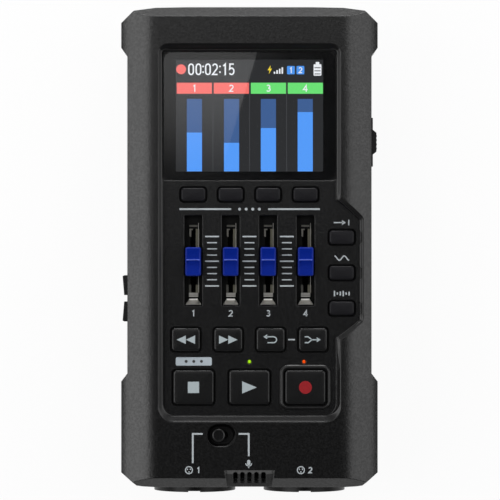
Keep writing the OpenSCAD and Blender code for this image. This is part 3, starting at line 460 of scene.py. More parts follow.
CASING = casing_finish()
FINISHES = {
    "casing": CASING,
    "pane": pane_finish(),
    "display": finish("display_black", (0.004, 0.0042, 0.005), 0.3, depth=0.02, gloss=0.1),
    "light_guide": finish("light_guide_white", (0.8, 0.8, 0.78), 0.5, depth=0.05),
    "board": finish("board_green", (0.02, 0.11, 0.05), 0.45, size=900, clouds=260, spread=0.3),
    "key": finish("key_plastic", (0.0066, 0.0067, 0.0069), 0.24, size=2400, depth=0.2, gloss=0.35),
    "fader_cap": cap_finish(),
    "sheet_steel": finish("sheet_steel", (0.6, 0.6, 0.6), 0.32, size=1800, spread=0.1, depth=0.08, metal=1.0,
                          round_edge=0.15),
    "switch_body": finish("switch_black", (0.02, 0.02, 0.022), 0.4, depth=0.1),
    "screw": finish("screw_steel", (0.16, 0.16, 0.17), 0.38, size=2500, metal=1.0, round_edge=0.15),
    "green_light": lamp_finish("green_light_pipe", (0.5, 1.0, 0.01), 1.0),
    "red_light": lamp_finish("red_light_pipe", (1.0, 0.09, 0.002), 1.1),
    "chip": finish("chip_white", (0.7, 0.7, 0.66), 0.4),
    "small_control": finish("small_control_plastic", (0.004, 0.004, 0.0042), 0.36, round_edge=0.3, gloss=0.3),
    "socket": finish("socket_plastic", (0.004, 0.004, 0.0042), 0.36, round_edge=0.3, gloss=0.25),
    "microphone": finish("capsule_felt", (0.012, 0.012, 0.012), 0.8, size=1200, depth=0.4),
    "rubber": finish("foot_rubber", (0.014, 0.014, 0.014), 0.75, size=1500, depth=0.3),
    "cell": finish("cell_sleeve", (0.05, 0.05, 0.055), 0.35, size=500, spread=0.25),
    "insert": finish("insert_brass", (0.6, 0.42, 0.16), 0.3, metal=1.0, round_edge=0.15),
}
PAINT = paint("printed_grey", (0.41, 0.445, 0.465), 0.08)
WHITE_PAINT = paint("printed_white", (0.365, 0.42, 0.44), 0.06)
RED_PAINT = paint("printed_red", (0.285, 0.0135, 0.018), 0.4, rough=0.35, clouds=2600, gloss=0.2)
PILL_PAINT = paint("printed_pill", (0.39, 0.445, 0.485), 0.06, clouds=400)
DARK_PAINT = paint("printed_dark", (0.014, 0.014, 0.015), 0.1)
BRASS = finish("contact_brass", (0.12, 0.115, 0.09), 0.45, size=1500, clouds=300, spread=0.2, metal=1.0)
SOFT_PLASTIC = finish("soft_key_plastic", (0.0093, 0.0091, 0.0108), 0.34, size=2400, depth=0.2, gloss=0.14)
# Black for painted shade: liners and rings laid where gaps and hollows are in shade
SHADE_BLACK = finish("painted_shade_black", (0.002, 0.002, 0.0021), 0.5, depth=0.1, gloss=0.08)
KNOB_PLASTIC = finish("knob_plastic", (0.003, 0.003, 0.0032), 0.22, depth=0.1, gloss=0.5)
RIM_PLASTIC = finish("tray_rim_plastic", (0.004, 0.004, 0.0041), 0.3, size=3200, gloss=0.45)
# Dull copy of the rim plastic with less sheen, as painted shade on the tray's top wall and the selector's lip
SHADED_PLASTIC = finish("tray_shade_plastic", (0.004, 0.004, 0.0041), 0.34, size=3200, depth=0.2, gloss=0.14)
BEZEL_PLASTIC = finish("bezel_plastic", (0.005, 0.005, 0.0051), 0.3, size=3200, depth=0.03, gloss=0.52)
DULL_STEEL = finish("dull_steel", (0.07, 0.068, 0.06), 0.5, size=1500, clouds=900, spread=0.35, metal=0.6)
NICKEL = finish("bright_nickel", (0.42, 0.41, 0.385), 0.35, size=1800, clouds=300, spread=0.06, depth=0.03,
                metal=1.0)
PALE_STEEL = finish("pale_steel", (0.15, 0.145, 0.13), 0.4, size=1500, clouds=300, spread=0.15, metal=1.0)
BRIGHT_STEEL = finish("bright_steel", (0.8, 0.78, 0.75), 0.4, size=1500, clouds=300, spread=0.06, depth=0.03,
                      metal=0.35)
BLACK_MASK = finish("pane_border_black", (0.0045, 0.0045, 0.0047), 0.1, depth=0.0, gloss=0.4)
FRAME_STEEL = frame_finish()

for row in frame["record"]["subparts"]:
    solid = frame["nodes"][row["node"]]
    solid.data.materials.clear()
    solid.data.materials.append(
        FRAME_STEEL if row["node"].startswith("fader_frame") else FINISHES[row["material_slot"]])


# Pieces

def put(made):
    """Add an object to the scene."""
    bpy.context.scene.collection.objects.link(made)
    return made


def piece(name, parts, look, body="casing", stands_for=(), crease=38, painted_highlight=None):
    """One object from surfaces, each its points and blocks of faces, riding on a body, with a painted
    highlight for each point where one is given."""
    starts = np.cumsum([0] + [len(points) for points, _ in parts])
    faces = [
        face for start, (_, blocks) in zip(starts, parts)
        for block in blocks for face in (block + start).tolist()]
    mesh = bpy.data.meshes.new(name)
    mesh.from_pydata((np.concatenate([points for points, _ in parts]) * MM).tolist(), [], faces)
    mesh.polygons.foreach_set("use_smooth", np.ones(len(mesh.polygons), bool))
    mesh.set_sharp_from_angle(angle=np.radians(crease))
    mesh.materials.append(look)
    if painted_highlight is not None:
        mesh.attributes.new("painted_highlight", "FLOAT", "POINT").data.foreach_set("value", painted_highlight)
    made = put(bpy.data.objects.new(name, mesh))
    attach(made, body)
    if stands_for:
        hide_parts(*stands_for)


def box_of(node):
    """Lowest and highest corner of a solid in millimetres."""
    low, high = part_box(node)
    return np.array(low) / MM, np.array(high) / MM


def middle_of(node):
    """Middle of a solid's box in millimetres."""
    low, high = box_of(node)
    return (low + high) / 2


# Rims of the tray: moulded edges along its walls

TRAY_X, TRAY_LOW, TRAY_HIGH = 25.0, -47.53, 57.67
TRAY_CORNER, HIGH_CORNER = 3.7, 1.9
SIDE_DRAFT, END_DRAFT, WING_DRAFT, CORNER_DRAFT = 1.2, 1.75, 1.3, 0.8
RIM_WIDTH = 1.05
WING_X, WING_R = 30.65, 1.35
WING_LOW, WING_HIGH = -19.33, 8.57
WING_IN_X, WING_IN_LOW, WING_IN_HIGH = 23.0, -24.68, 14.52
RIGHT_WALL_Y, OVER_WING_Y = (-36.0, -33.0, -29.5), 16.5
SHOULDER_X, SHOULDER_R = 26.2, 20.0
SIDE_KEY_Y = (3.82, -6.38, -16.58)
SECTION, SLANT_POINTS, WING_POINTS = 25, 9, 66
RIM_BEND = ((0, 0.3, 0.72, 1), (0, 1, 1, 0.15))
LINE_BEND = (
    (0, 0.06, 0.18, 0.3, 0.78, 0.84, 0.95, 1),
    (0.2, 1.205, 1.205, 1.0, 1.0, 1.175, 1.175, 0.2))


def face_level(x):
    """Level of the face at x: flat in the middle, and a circle over each shoulder."""
    out = np.maximum(np.abs(x) - SHOULDER_X, 0)
    return FACE - SHOULDER_R + np.sqrt(SHOULDER_R ** 2 - out ** 2)


def chamfer(edge, away, top, width, tilt, foot, lines=0.0):
    """Moulded edge along a path: from the edge each section runs inwards over its width, steepens to
    its tilt, flattens again, and then drops to its foot; its level is the sum of the slopes so far. Where
    lines are asked for, the section is steeper for a little way near both its edges."""
    share = np.linspace(0, 1, SECTION)
    bend = np.interp(share, *RIM_BEND)[:, None]
    steep = np.interp(share, *LINE_BEND)[:, None]
    bend = bend + (steep - bend) * np.asarray(lines)
    slope = np.tan(np.radians(np.asarray(tilt) * bend))
    step = np.asarray(width) / (SECTION - 1)
    drop = np.concatenate([np.zeros((1, len(edge))), np.cumsum((slope[1:] + slope[:-1]) / 2 * step, 0)])
    section = [at_level(edge + 0.1 * away, top - 1), at_level(edge + 0.1 * away, top + 0.005)]
    section += [
        at_level(edge - away * (np.asarray(width) * u)[:, None], np.maximum(top - d, foot + 0.02))
        for u, d in zip(share, drop)]
    section.append(at_level(section[-1][:, :2], foot - 0.05))
    return skin(np.stack(section[::-1], 1))


def stretch(path, turn, draft, width, tilt, lines=0.0):
    """Rows of a rim along a path: the place, then the turn and the other values at each point."""
    path = np.atleast_2d(np.asarray(path, float))
    values = [np.broadcast_to(value, len(path)) for value in (turn, draft, width, tilt, lines)]
    return np.column_stack([path, *values])


def rim_strip(*stretches):
    """Chamfer on a wall of the tray: the path is the wall's foot, the wall leans out by its draft over
    the height of the flat face, and the edge lies where it meets the face or a shoulder."""
    rows = np.concatenate(stretches)
    path = rows[:, :2]
    turn, draft, width, tilt, lines = rows[:, 2:].T
    away = np.stack([np.cos(np.radians(turn)), np.sin(np.radians(turn))], -1)
    reach = draft[:, None]
    for _ in range(4):
        top = face_level((path + away * reach)[:, 0])
        reach = draft[:, None] * (top[:, None] - FLOOR) / (FACE - FLOOR)
    edge = path + away * reach
    return chamfer(edge, away, face_level(edge[:, 0]), width, tilt, FLOOR, lines)


def corner_arc(x, y, radius, start, end, count=10):
    """Points of a round corner and the angle at each."""
    return arc(x, y, radius, radius, start, end, count), np.linspace(start, end, count)


def slanted_wall(corner_y, inner_y, way):
    """Slant between the tray's side and a round corner of its wide part: the path of its foot upwards, and
    the angle out of it at each point, which is halved where it meets the side."""
    step = way * np.array([WING_IN_X - WING_X, inner_y - corner_y])
    step /= np.linalg.norm(step)
    out = np.array([step[1], -step[0]])
    foot = np.array([WING_X, corner_y]) + WING_R * out
    reach = (TRAY_X - foot[0]) / step[0]
    path = foot + step * np.linspace(min(reach, 0), max(reach, 0), SLANT_POINTS)[:, None]
    turn = np.full(SLANT_POINTS, np.degrees(np.arctan2(out[1], out[0])))
    turn[0 if way < 0 else -1] /= 2
    return path, turn


share = np.linspace(0, 1, 10)
rise = np.linspace(0, 1, 6)
in_x, in_low = TRAY_X - TRAY_CORNER, TRAY_LOW + TRAY_CORNER
high_x, high_y = TRAY_X - HIGH_CORNER, TRAY_HIGH - HIGH_CORNER
high_left, high_left_turn = corner_arc(-high_x, high_y, HIGH_CORNER, 90, 180)
low_left, low_left_turn = corner_arc(-in_x, in_low, TRAY_CORNER, 180, 270)
low_right, low_right_turn = corner_arc(in_x, in_low, TRAY_CORNER, 270, 360)
high_right, high_right_turn = corner_arc(high_x, high_y, HIGH_CORNER, 0, 90)
corner_draft = SIDE_DRAFT + (END_DRAFT - SIDE_DRAFT) * share + CORNER_DRAFT * share * (1 - share)
left_rim = rim_strip(
    stretch(high_left[5:], high_left_turn[5:], corner_draft[4::-1], RIM_WIDTH, np.linspace(42, 37, 5)),
    stretch(low_left, low_left_turn, corner_draft, 1.3 + 0.7 * share, 37 - 7.5 * share, share),
    stretch(low_right, low_right_turn, corner_draft[::-1], 2.0 - 1.75 * share ** 1.5, 29.5 + 0.5 * share,
            1 - share),
    stretch((TRAY_X, RIGHT_WALL_Y[0]), 360, SIDE_DRAFT, 0.2, 30))

slant, slant_turn = slanted_wall(WING_LOW, WING_IN_LOW, -1)
climb, climb_turn = slanted_wall(WING_HIGH, WING_IN_HIGH, 1)
low_arc, low_turn = corner_arc(WING_X, WING_LOW, WING_R, slant_turn[-1], 0, 8)
high_arc, high_turn = corner_arc(WING_X, WING_HIGH, WING_R, 0, climb_turn[0], 8)
wing_y = np.linspace(WING_LOW, WING_HIGH, WING_POINTS + 1)[1:]
wing_wall = np.column_stack([np.full(WING_POINTS, WING_X + WING_R), wing_y])
beside = np.min(np.abs(wing_y[:, None] - np.array(SIDE_KEY_Y)), 1)
side_tilt = np.linspace(36, 42, 6)
right_rim = rim_strip(
    stretch([(TRAY_X, y) for y in RIGHT_WALL_Y], 0, SIDE_DRAFT, (0.2, 0.25, 0.85), (30, 31, 34)),
    stretch(slant, slant_turn, WING_DRAFT, 1.2, 30),
    stretch(low_arc[1:], low_turn[1:], WING_DRAFT, 1.0, 32),
    stretch(wing_wall, 0, WING_DRAFT, np.interp(beside, (1.5, 1.9), (0.32, 1.0)), 38),
    stretch(high_arc[1:], high_turn[1:], WING_DRAFT, 1.1, np.linspace(38, 26, 7)),
    stretch(climb[1:], climb_turn[1:], WING_DRAFT, 1.1, 26),
    stretch((TRAY_X, OVER_WING_Y), 0, SIDE_DRAFT, RIM_WIDTH, side_tilt[0]),
    stretch(high_right[:5], high_right_turn[:5], corner_draft[:5], RIM_WIDTH, side_tilt[1:]))
piece("tray_rims", [left_rim, right_rim], RIM_PLASTIC)
high_rim = rim_strip(
    stretch(high_right[4:], high_right_turn[4:], corner_draft[4:], RIM_WIDTH + 0.5 * rise, 42 + 8 * rise),
    stretch(high_left[:6], high_left_turn[:6], corner_draft[:3:-1], 1.55 - 0.5 * rise, 50 - 8 * rise))
piece("tray_high_rim", [high_rim], SHADED_PLASTIC)


# Keys

KEY_FILLET, KEY_CROWN, STEM = 0.42, 0.1, 0.9
KEY_GAP, GAP_SHADE_REACH, GAP_SHADE_DEPTH = 0.42, 0.62, 0.3
SIGN = 0.34
BEZEL_BEAD = (
    (1.64, -0.05), (1.63, 0.18), (1.54, 0.36), (1.37, 0.48), (1.15, 0.59), (1.01, 0.63), (0.79, 0.64),
    (0.72, 0.6), (0.72, -0.05))
BEZEL_GAP_SHADE = ((0.77, 0.3), (0.77, 0.615), (0.39, 0.612), (0.39, -0.05))
# Painted shade: a black ring laid on the tray floor round each key widens the dark gap
KEY_GAP_SHADE = ring_at(KEY_GAP, GAP_SHADE_REACH, -GAP_SHADE_DEPTH, FILM)
SOFT_KEYS = [f"soft_key_{i}" for i in TRACKS]
SIDE_KEYS = ["input_key", "effect_key", "rhythm_key"]
SMALL_KEYS = ["rewind_key", "forward_key", "undo_key", "bounce_key"]
LARGE_KEYS = ["stop_key", "play_key", "record_key"]
ALL_KEYS = SOFT_KEYS + SIDE_KEYS + SMALL_KEYS + LARGE_KEYS


def key_border(node, rings):
    """Closed border round a key: rounded rectangles, each at a distance from the key's sides and a height
    over the tray floor."""
    low, high = box_of(node)
    width, height = (high - low)[:2] - 2 * FLANGE
    middle = middle_of(node)[:2]
    return skin([
        at_level(outline(width + 2 * r, height + 2 * r, KEY_CORNER + r, 9) + middle, FLOOR + z)
        for r, z in rings], loop=True)


def key_surface(node):
    """Key from its stem to its crowned top: rounded rectangles stacked over the stem, the hidden flange
    and the straight sides, a quarter-circle edge, and a top that falls with the square of the distance
    from its middle."""
    low, high = box_of(node)
    middle = (low + high)[:2] / 2
    width, height = (high - low)[:2] - 2 * FLANGE
    top, under = high[2], UNDER - FLANGE
    rim = top - KEY_CROWN
    rings = [(2 * STEM, 2 * STEM, STEM, low[2]), (2 * STEM, 2 * STEM, STEM, under)]
    rings += [(width + 2 * FLANGE, height + 2 * FLANGE, KEY_CORNER + FLANGE, z) for z in (under, UNDER)]
    rings += [(width, height, KEY_CORNER, z) for z in (UNDER, rim - KEY_FILLET)]
    for turn in np.linspace(0, np.pi / 2, 6)[1:]:
        inset, drop = KEY_FILLET * (1 - np.cos(turn)), KEY_FILLET * (1 - np.sin(turn))
        rings.append((width - 2 * inset, height - 2 * inset, KEY_CORNER, rim - drop))
    across, along = width - 2 * KEY_FILLET, height - 2 * KEY_FILLET
    for share in (0.85, 0.65, 0.45, 0.25, 0.08):
        rings.append((across * share, along * share, KEY_CORNER * share, rim + KEY_CROWN * (1 - share ** 2)))
    return skin([at_level(outline(w, h, r) + middle, z) for w, h, r, z in rings])


def key_print(name, key, shapes, paths=(), look=WHITE_PAINT):
    """Print on a key's top, riding with the key: lines along paths, and flat shapes, about its middle."""
    x, y, _ = middle_of(key)
    top = box_of(key)[1][2]
    parts = [bar(moved(path, x, y), SIGN, top - KEY_INK, top + PRINT) for path in paths]
    parts += [prism(moved(shape, x, y), top - KEY_INK, top + PRINT) for shape in shapes]
    piece(name, parts, look, key + "_body")


def triangle(width, height, x=0.0):
    """Triangle that points right, or left where its width is below zero, about x."""
    shape = np.array([[-width / 2, -height / 2], [width / 2, 0], [-width / 2, height / 2]])
    return (shape if width > 0 else shape[::-1]) + np.array([x, 0])


piece("record_bezel", [key_border("record_key", BEZEL_BEAD)], BEZEL_PLASTIC, crease=60)
# Painted shade: a black ring over the bezel's inner plateau stands for the shadow in the gap round the record
# key
piece("record_gap_shade", [key_border("record_key", BEZEL_GAP_SHADE)], SHADE_BLACK)
for key in ALL_KEYS:
    look = SOFT_PLASTIC if key in SOFT_KEYS + SIDE_KEYS else FINISHES["key"]
    piece(key + "_cap", [key_surface(key)], look, key + "_body", [key], crease=60)
# Painted shade round the keys: black rings on the tray floor beside each key's gap
piece("key_gap_shades", [key_border(key, KEY_GAP_SHADE) for key in ALL_KEYS[:-1]], SHADE_BLACK)

WIND_W, WIND_H = 2.65, 2.44
for name, way in (("rewind", -1), ("forward", 1)):
    key_print(name + "_mark", name + "_key", [triangle(way * WIND_W, WIND_H, x) for x in (-1.33, 1.33)])
key_print("stop_mark", "stop_key", [outline(3.25, 3.25, 0.08)])
key_print("play_mark", "play_key", [triangle(4.2, 3.5)])
key_print("record_mark", "record_key", [circle(1.85, 48)], look=RED_PAINT)


# Fader caps

CAP_CORNER, CAP_EDGE, CAP_RIDGE = 0.62, 0.45, 0.5
CAP_HOLLOW, CAP_SCOOP, CAP_FALL, RIM_HIGHLIGHT = 0.14, 0.42, 0.12, 0.1


def round_corners(x, y, width, length, radius):
    """Grid on a rectangle drawn in at its corners: the square beyond each corner centre is mapped to a
    quarter disc, p times the root of one less half of q squared, and the same with p and q changed."""
    p = np.clip((np.abs(x) - width / 2 + radius) / radius, 0, 1)
    q = np.clip((np.abs(y) - length / 2 + radius) / radius, 0, 1)
    disc_x, disc_y = p * np.sqrt(1 - q * q / 2), q * np.sqrt(1 - p * p / 2)
    in_x = np.where(p > 0, width / 2 - radius + radius * disc_x, np.abs(x))
    in_y = np.where(q > 0, length / 2 - radius + radius * disc_y, np.abs(y))
    straight = np.minimum(width / 2 - in_x, length / 2 - in_y)
    rim = np.where((p > 0) & (q > 0), radius - radius * np.hypot(disc_x, disc_y), straight)
    return np.sign(x) * in_x, np.sign(y) * in_y, np.maximum(rim, 0)


def mound(width, length, radius, bottom, level, count=(47, 91)):
    """Closed form with a shaped top: a grid over a rounded rectangle whose level is a function of x, y
    and the distance from the rim, straight walls below its border, and a flat bottom."""
    n, m = count
    x, y = np.meshgrid(np.linspace(-width / 2, width / 2, n), np.linspace(-length / 2, length / 2, m))
    x, y, rim = round_corners(x, y, width, length, radius)
    top = np.stack([x, y, level(x, y, rim)], -1).reshape(-1, 3)
    index = np.arange(n * m).reshape(m, n)
    quads = np.stack([index[:-1, :-1], index[:-1, 1:], index[1:, 1:], index[1:, :-1]], -1).reshape(-1, 4)
    edge = np.concatenate([index[0, :-1], index[:-1, -1], index[-1, :0:-1], index[:0:-1, 0]])
    foot = at_level(top[edge, :2], bottom)
    low = n * m + np.arange(len(edge))
    walls = np.stack([low, np.roll(low, -1), np.roll(edge, -1), edge], -1)
    return np.concatenate([top, foot]), [quads, walls, low[::-1][None, :]]


def ease(value, start, end):
    """Smooth step from zero at start to one at end: three t squared less two t cubed."""
    t = np.clip((value - start) / (end - start), 0, 1)
    return t * t * (3 - 2 * t)


def cap_level(x, y, rim):
    """Level of the cap's top, zero at its highest: a quarter-circle edge, a shallow hollow above the ridge,
    and below it a deeper scoop inside a narrow rim that rises again to the lower end."""
    edge = CAP_EDGE - np.sqrt(np.maximum(CAP_EDGE ** 2 - np.clip(CAP_EDGE - rim, 0, CAP_EDGE) ** 2, 0))
    d = y - CAP_RIDGE
    inside = ease(np.abs(x), 2.0, 1.75)
    upper = CAP_HOLLOW * ease(d, 0.1, 0.5) * ease(d, 3.5, 1.2)
    scoop = CAP_SCOOP * ease(-d - 0.5 * ease(np.abs(x), 1.2, 2.0), 0.06, 0.3) * ease(-d, 4.6, 0.6)
    return -edge - inside * (upper + scoop) - CAP_FALL * ease(np.abs(d), 0.25, 4.0)


def cap_painted_highlight(points, width, length):
    """Painted highlight of the cap's points: one on the ridge, a tenth on the rims, and easing to zero beside
    them.
    """
    x, y = np.abs(points[:, 0]), points[:, 1]
    rim = np.minimum(width / 2 - x, length / 2 - np.abs(y))
    ridge = ease(np.abs(y - CAP_RIDGE), 0.22, 0.05) * ease(x, 2.0, 1.8)
    return np.maximum(RIM_HIGHLIGHT * ease(np.abs(rim - 0.26), 0.2, 0.05), ridge)


for i in TRACKS:
    low, high = box_of(f"fader_cap_{i}")
    size, top = (high - low)[:2], high[2]
    points, blocks = mound(*size, CAP_CORNER, low[2], lambda x, y, rim: top + cap_level(x, y, rim))
    painted_highlight = cap_painted_highlight(points, *size)
    points[:, :2] += (low + high)[:2] / 2
    piece(f"fader_cap_{i}_form", [(points, blocks)], FINISHES["fader_cap"], f"fader_{i}",
          [f"fader_cap_{i}"], crease=60, painted_highlight=painted_highlight)


# Selector and lights; an edge lists distances in from the radius, a dome shares of it, each with a drop

KNOB_STEM, KNOB_FOOT, KNOB_HOLLOW = 0.9, 37.2, 0.22
KNOB_EDGE = ((0, 0.36), (0.08, 0.18), (0.2, 0.07), (0.32, 0), (0.38, 0.03), (0.46, 0.2))
RING_EDGE = ((-0.01, 0.5), (-0.01, 0.34), (0.06, 0.17), (0.2, 0.05), (0.34, 0), (0.42, 0.04), (0.42, 0.5))
DISH_SHADE_RINGS = (
    (8.6, 7.0, 3.48, 36.8), (8.6, 7.0, 3.48, FACE + FILM), (8.35, 6.75, 3.35, FACE + FILM),
    (6.6, 5.0, 2.48, 37.0), (6.2, 4.6, 2.28, 36.95), (3.9, 2.3, 1.13, 36.95), (3.9, 2.3, 1.13, 36.8))
LIP_POINTS, LIP_R, LIP_SHIFT, LIP_FOOT, LIP_TILT = 37, 3.38, 0.8, 37.2, 40
LIP_WIDTH = ((0, 0.35, 0.65, 0.85, 1), (0.05, 0.25, 0.7, 0.5, 0.05))
DOME = ((0.62, 0.22), (0.56, 0.1), (0.4, 0.03), (0.15, 0))

low, high = box_of("selector_knob")
knob_at = (*middle_of("selector_knob")[:2], 0)
knob_r, knob_top = (high - low)[0] / 2, high[2]
knob_profile = [(KNOB_STEM, low[2]), (KNOB_STEM, KNOB_FOOT), (knob_r, KNOB_FOOT)]
knob_profile += [(knob_r - inset, knob_top - drop) for inset, drop in KNOB_EDGE]
knob_profile += [(r, knob_top - KNOB_HOLLOW) for r in (1.0, 0.3)]
piece("selector_knob_form", [turned(knob_profile, knob_at)], KNOB_PLASTIC, "selector",
      ["selector_knob"])
ring_profile = [(knob_r - inset, knob_top - drop) for inset, drop in RING_EDGE]
piece("selector_ring", [turned(ring_profile, knob_at, loop=True)], BEZEL_PLASTIC, "selector")

dish_at = np.array([DISH_X, DISH_Y])
# Painted shade: a black liner laid over the selector's dish stands for the shade in it
dish_shade = [at_level(outline(w, h, r, 12) + dish_at, z) for w, h, r, z in DISH_SHADE_RINGS]
piece("selector_dish_shade", [skin(dish_shade, loop=True)], SHADE_BLACK)
turn = np.radians(np.linspace(195, 375, LIP_POINTS))
lip_out = np.stack([np.cos(turn), np.sin(turn)], -1)
lip_edge = dish_at + np.sign(lip_out[:, :1]) * (LIP_SHIFT, 0) + LIP_R * lip_out
lip_width = np.interp(np.linspace(0, 1, LIP_POINTS), *LIP_WIDTH)
lip = chamfer(lip_edge, lip_out, np.full(LIP_POINTS, FACE + FILM), lip_width, LIP_TILT, LIP_FOOT)
piece("selector_lip", [lip], SHADED_PLASTIC)

for light, slot in (("play_light", "green_light"), ("record_light", "red_light")):
    low, high = box_of(light)
    r = (high - low)[0] / 2
    dome = [(DOME[0][0] * r, low[2])] + [(part * r, high[2] - drop) for part, drop in DOME]
    light_at = (*middle_of(light)[:2], 0)
    piece(light + "_dome", [turned(dome, light_at, count=24)], FINISHES[slot], stands_for=[light])


# Printed marks on the tray floor and on the face

RULE_Y, RULE_X = 11.95, ((-20.12, -5.25), (5.42, 20.26))
TICK_X, TICK_TOP, TICK_PITCH = (-10.76, 0.0, 10.76), 4.07, 1.776
LONG_TICK, SHORT_TICK = (2.0, 0.40), (1.43, 0.33)
NUMBER_Y, NUMBER_H, NUMBER_STROKE = -18.0, 1.8, 0.31
SIGN_OVER_KEY, SIGN_DOT = 4.25, 0.42
PILL_X, PILL_Y = -16.0, -31.84
BRACKET, BRACKET_Y, BRACKET_X = 0.5, -52.55, (-16.25, -0.2)
PLUG_SIGN_X, PLUG_SIGN_Y = (-16.05, 16.05), -62.95


def digit_path(number):
    """Stroke of a plain numeral one unit high about its middle: its path, and whether it is closed."""
    two = np.concatenate([arc(0, 0.19, 0.25, 0.25, 160, -38), [(-0.26, -0.44), (0.3, -0.44)]])
    three = np.concatenate([
        arc(-0.01, 0.21, 0.22, 0.23, 145, -75, 12), arc(-0.01, -0.2, 0.26, 0.24, 75, -150, 14)])
    five = np.concatenate([
        [(0.24, 0.44), (-0.18, 0.44), (-0.21, 0.02)], arc(-0.01, -0.17, 0.26, 0.27, 125, -145)])
    shapes = {
        0: (outline(0.5, 0.88, 0.25, 6), True),
        1: ([(-0.16, 0.27), (0.06, 0.44), (0.06, -0.5)], False),
        2: (two, False),
        3: (three, False),
        4: ([(0.13, -0.5), (0.13, 0.42), (-0.29, -0.2), (0.32, -0.2)], False),
        5: (five, False),
    }
    return shapes[number]


def numerals(places, y, height, width, low, high, narrow=1.0):
    """Numerals made of flat bars, each a number and its x, drawn in across their width where narrow."""
    scale = np.array([narrow, 1.0]) * height
    parts = []
    for number, x in places:
        path, loop = digit_path(number)
        parts.append(bar(moved(path, x, y, scale), width, low, high, loop))
    return parts


def print_bar(level, path, width, x=0.0, y=0.0, loop=False):
    """Printed line along a path on a level."""
    return bar(moved(path, x, y), width, level - PRINT_BED, level + PRINT, loop)


def print_shape(level, shape, x, y):
    """Printed flat shape on a level."""
    return prism(moved(shape, x, y), level - PRINT_BED, level + PRINT)


def arrow_head(tip_x, tip_y, angle, size):
    """Small triangle whose tip is at a point, pointing along an angle in degrees."""
    a = np.radians(angle)
    turn = np.array([[np.cos(a), np.sin(a)], [-np.sin(a), np.cos(a)]])
    return np.array([[-size, -0.62 * size], [0, 0], [-size, 0.62 * size]]) @ turn + np.array([tip_x, tip_y])


scale_print = [print_bar(FLOOR, [(a, RULE_Y), (b, RULE_Y)], 0.5) for a, b in RULE_X]
for x in TICK_X:
    for n in range(9):
        reach, width = LONG_TICK if n % 4 == 0 else SHORT_TICK
        y = TICK_TOP - n * TICK_PITCH
        scale_print.append(print_bar(FLOOR, [(x - reach, y), (x + reach, y)], width))
scale_print += numerals(
    zip(TRACKS, TRACK_X), NUMBER_Y, NUMBER_H, NUMBER_STROKE, FLOOR - PRINT_BED, FLOOR + PRINT)
scale_print.append(print_bar(FLOOR, [(11.1, -25.58), (13.1, -25.58)], 0.4))
piece("scale_print", scale_print, PAINT)

sign_x = middle_of("input_key")[0]
sign_y = [middle_of(key)[1] + SIGN_OVER_KEY for key in SIDE_KEYS]
wave_x = np.linspace(-2.1, 2.1, 33)
wave = np.stack([wave_x, 0.62 * np.sin(wave_x * np.pi / 1.4)], -1)
signs = [
    print_bar(FLOOR, [(-2.3, 0), (0.4, 0)], SIGN, sign_x, sign_y[0]),
    print_shape(FLOOR, arrow_head(1.2, 0, 0, 1.15), sign_x, sign_y[0]),
    print_bar(FLOOR, [(2.0, 0.8), (2.0, -0.8)], SIGN, sign_x, sign_y[0]),
    print_bar(FLOOR, wave, SIGN, sign_x, sign_y[1])]
signs += [
    print_bar(FLOOR, [(x, -reach), (x, reach)], SIGN + 0.06, sign_x, sign_y[2])
    for x, reach in zip((-2.1, -1.26, -0.42, 0.42, 1.26, 2.1), (0.8, 0.35, 0.55, 0.8, 0.35, 0.55))]
signs += [print_shape(FLOOR, circle(SIGN_DOT, 20), x, RULE_Y) for x in (-2.85, -0.95, 0.95, 2.85)]
piece("panel_signs", signs, PAINT)

piece("grey_pill", [print_shape(FLOOR, outline(10.35, 2.4, 0.45, 6), PILL_X, PILL_Y)], PILL_PAINT)
pill_dots = [moved(circle(SIGN_DOT, 20), PILL_X + x, PILL_Y) for x in (-2.2, 0, 2.2)]
piece("pill_dots", [prism(dot, FLOOR, FLOOR + 2 * PRINT) for dot in pill_dots], DARK_PAINT)
key_print("undo_sign", "undo_key", [arrow_head(-2.1, 0.85, 180, 1.1)], [
    np.concatenate([arc(0.75, 0, 0.95, 0.85, -90, 90), [(-1.2, 0.85)]]), [(0.75, -0.85), (-0.9, -0.85)]])
key_print("bounce_sign", "bounce_key", [arrow_head(2.2, 0, 0, 1.15)], [
    [(-2.4, 0.85), (-1.4, 0.85), (-0.3, 0), (1.2, 0)], [(-2.4, -0.85), (-1.4, -0.85), (-0.3, 0)]])

mic_x = BRACKET_X[1]
face_print = [
    print_bar(FACE, [(start, BRACKET_Y), (x, BRACKET_Y), (x, end)], BRACKET)
    for start, x, end in zip((-13.4, -3.1), BRACKET_X, (-60.95, -58.95))]
face_print += [
    print_shape(FACE, outline(0.95, 1.5, 0.46), mic_x, -60.75),
    print_bar(FACE, arc(0, 0, 0.85, 0.75, 180, 360, 14), 0.28, mic_x, -61.0),
    print_bar(FACE, [(mic_x, -61.7), (mic_x, -62.35)], 0.3)]
for number, x in zip((1, 2), PLUG_SIGN_X):
    face_print.append(print_bar(FACE, outline(2.0, 2.0, 1.0, 8), 0.3, x - 1.3, PLUG_SIGN_Y, loop=True))
    face_print += [
        print_shape(FACE, circle(0.2, 14), x - 1.3 + 0.5 * np.cos(a), PLUG_SIGN_Y + 0.5 * np.sin(a))
        for a in PIN_TURNS]
    face_print += numerals([(number, x + 1.4)], PLUG_SIGN_Y, 1.7, 0.32, FACE - PRINT_BED, FACE + PRINT)
piece("face_print", face_print, PAINT)


# Display: the pane with a black border inside it, and the lit picture on the cell

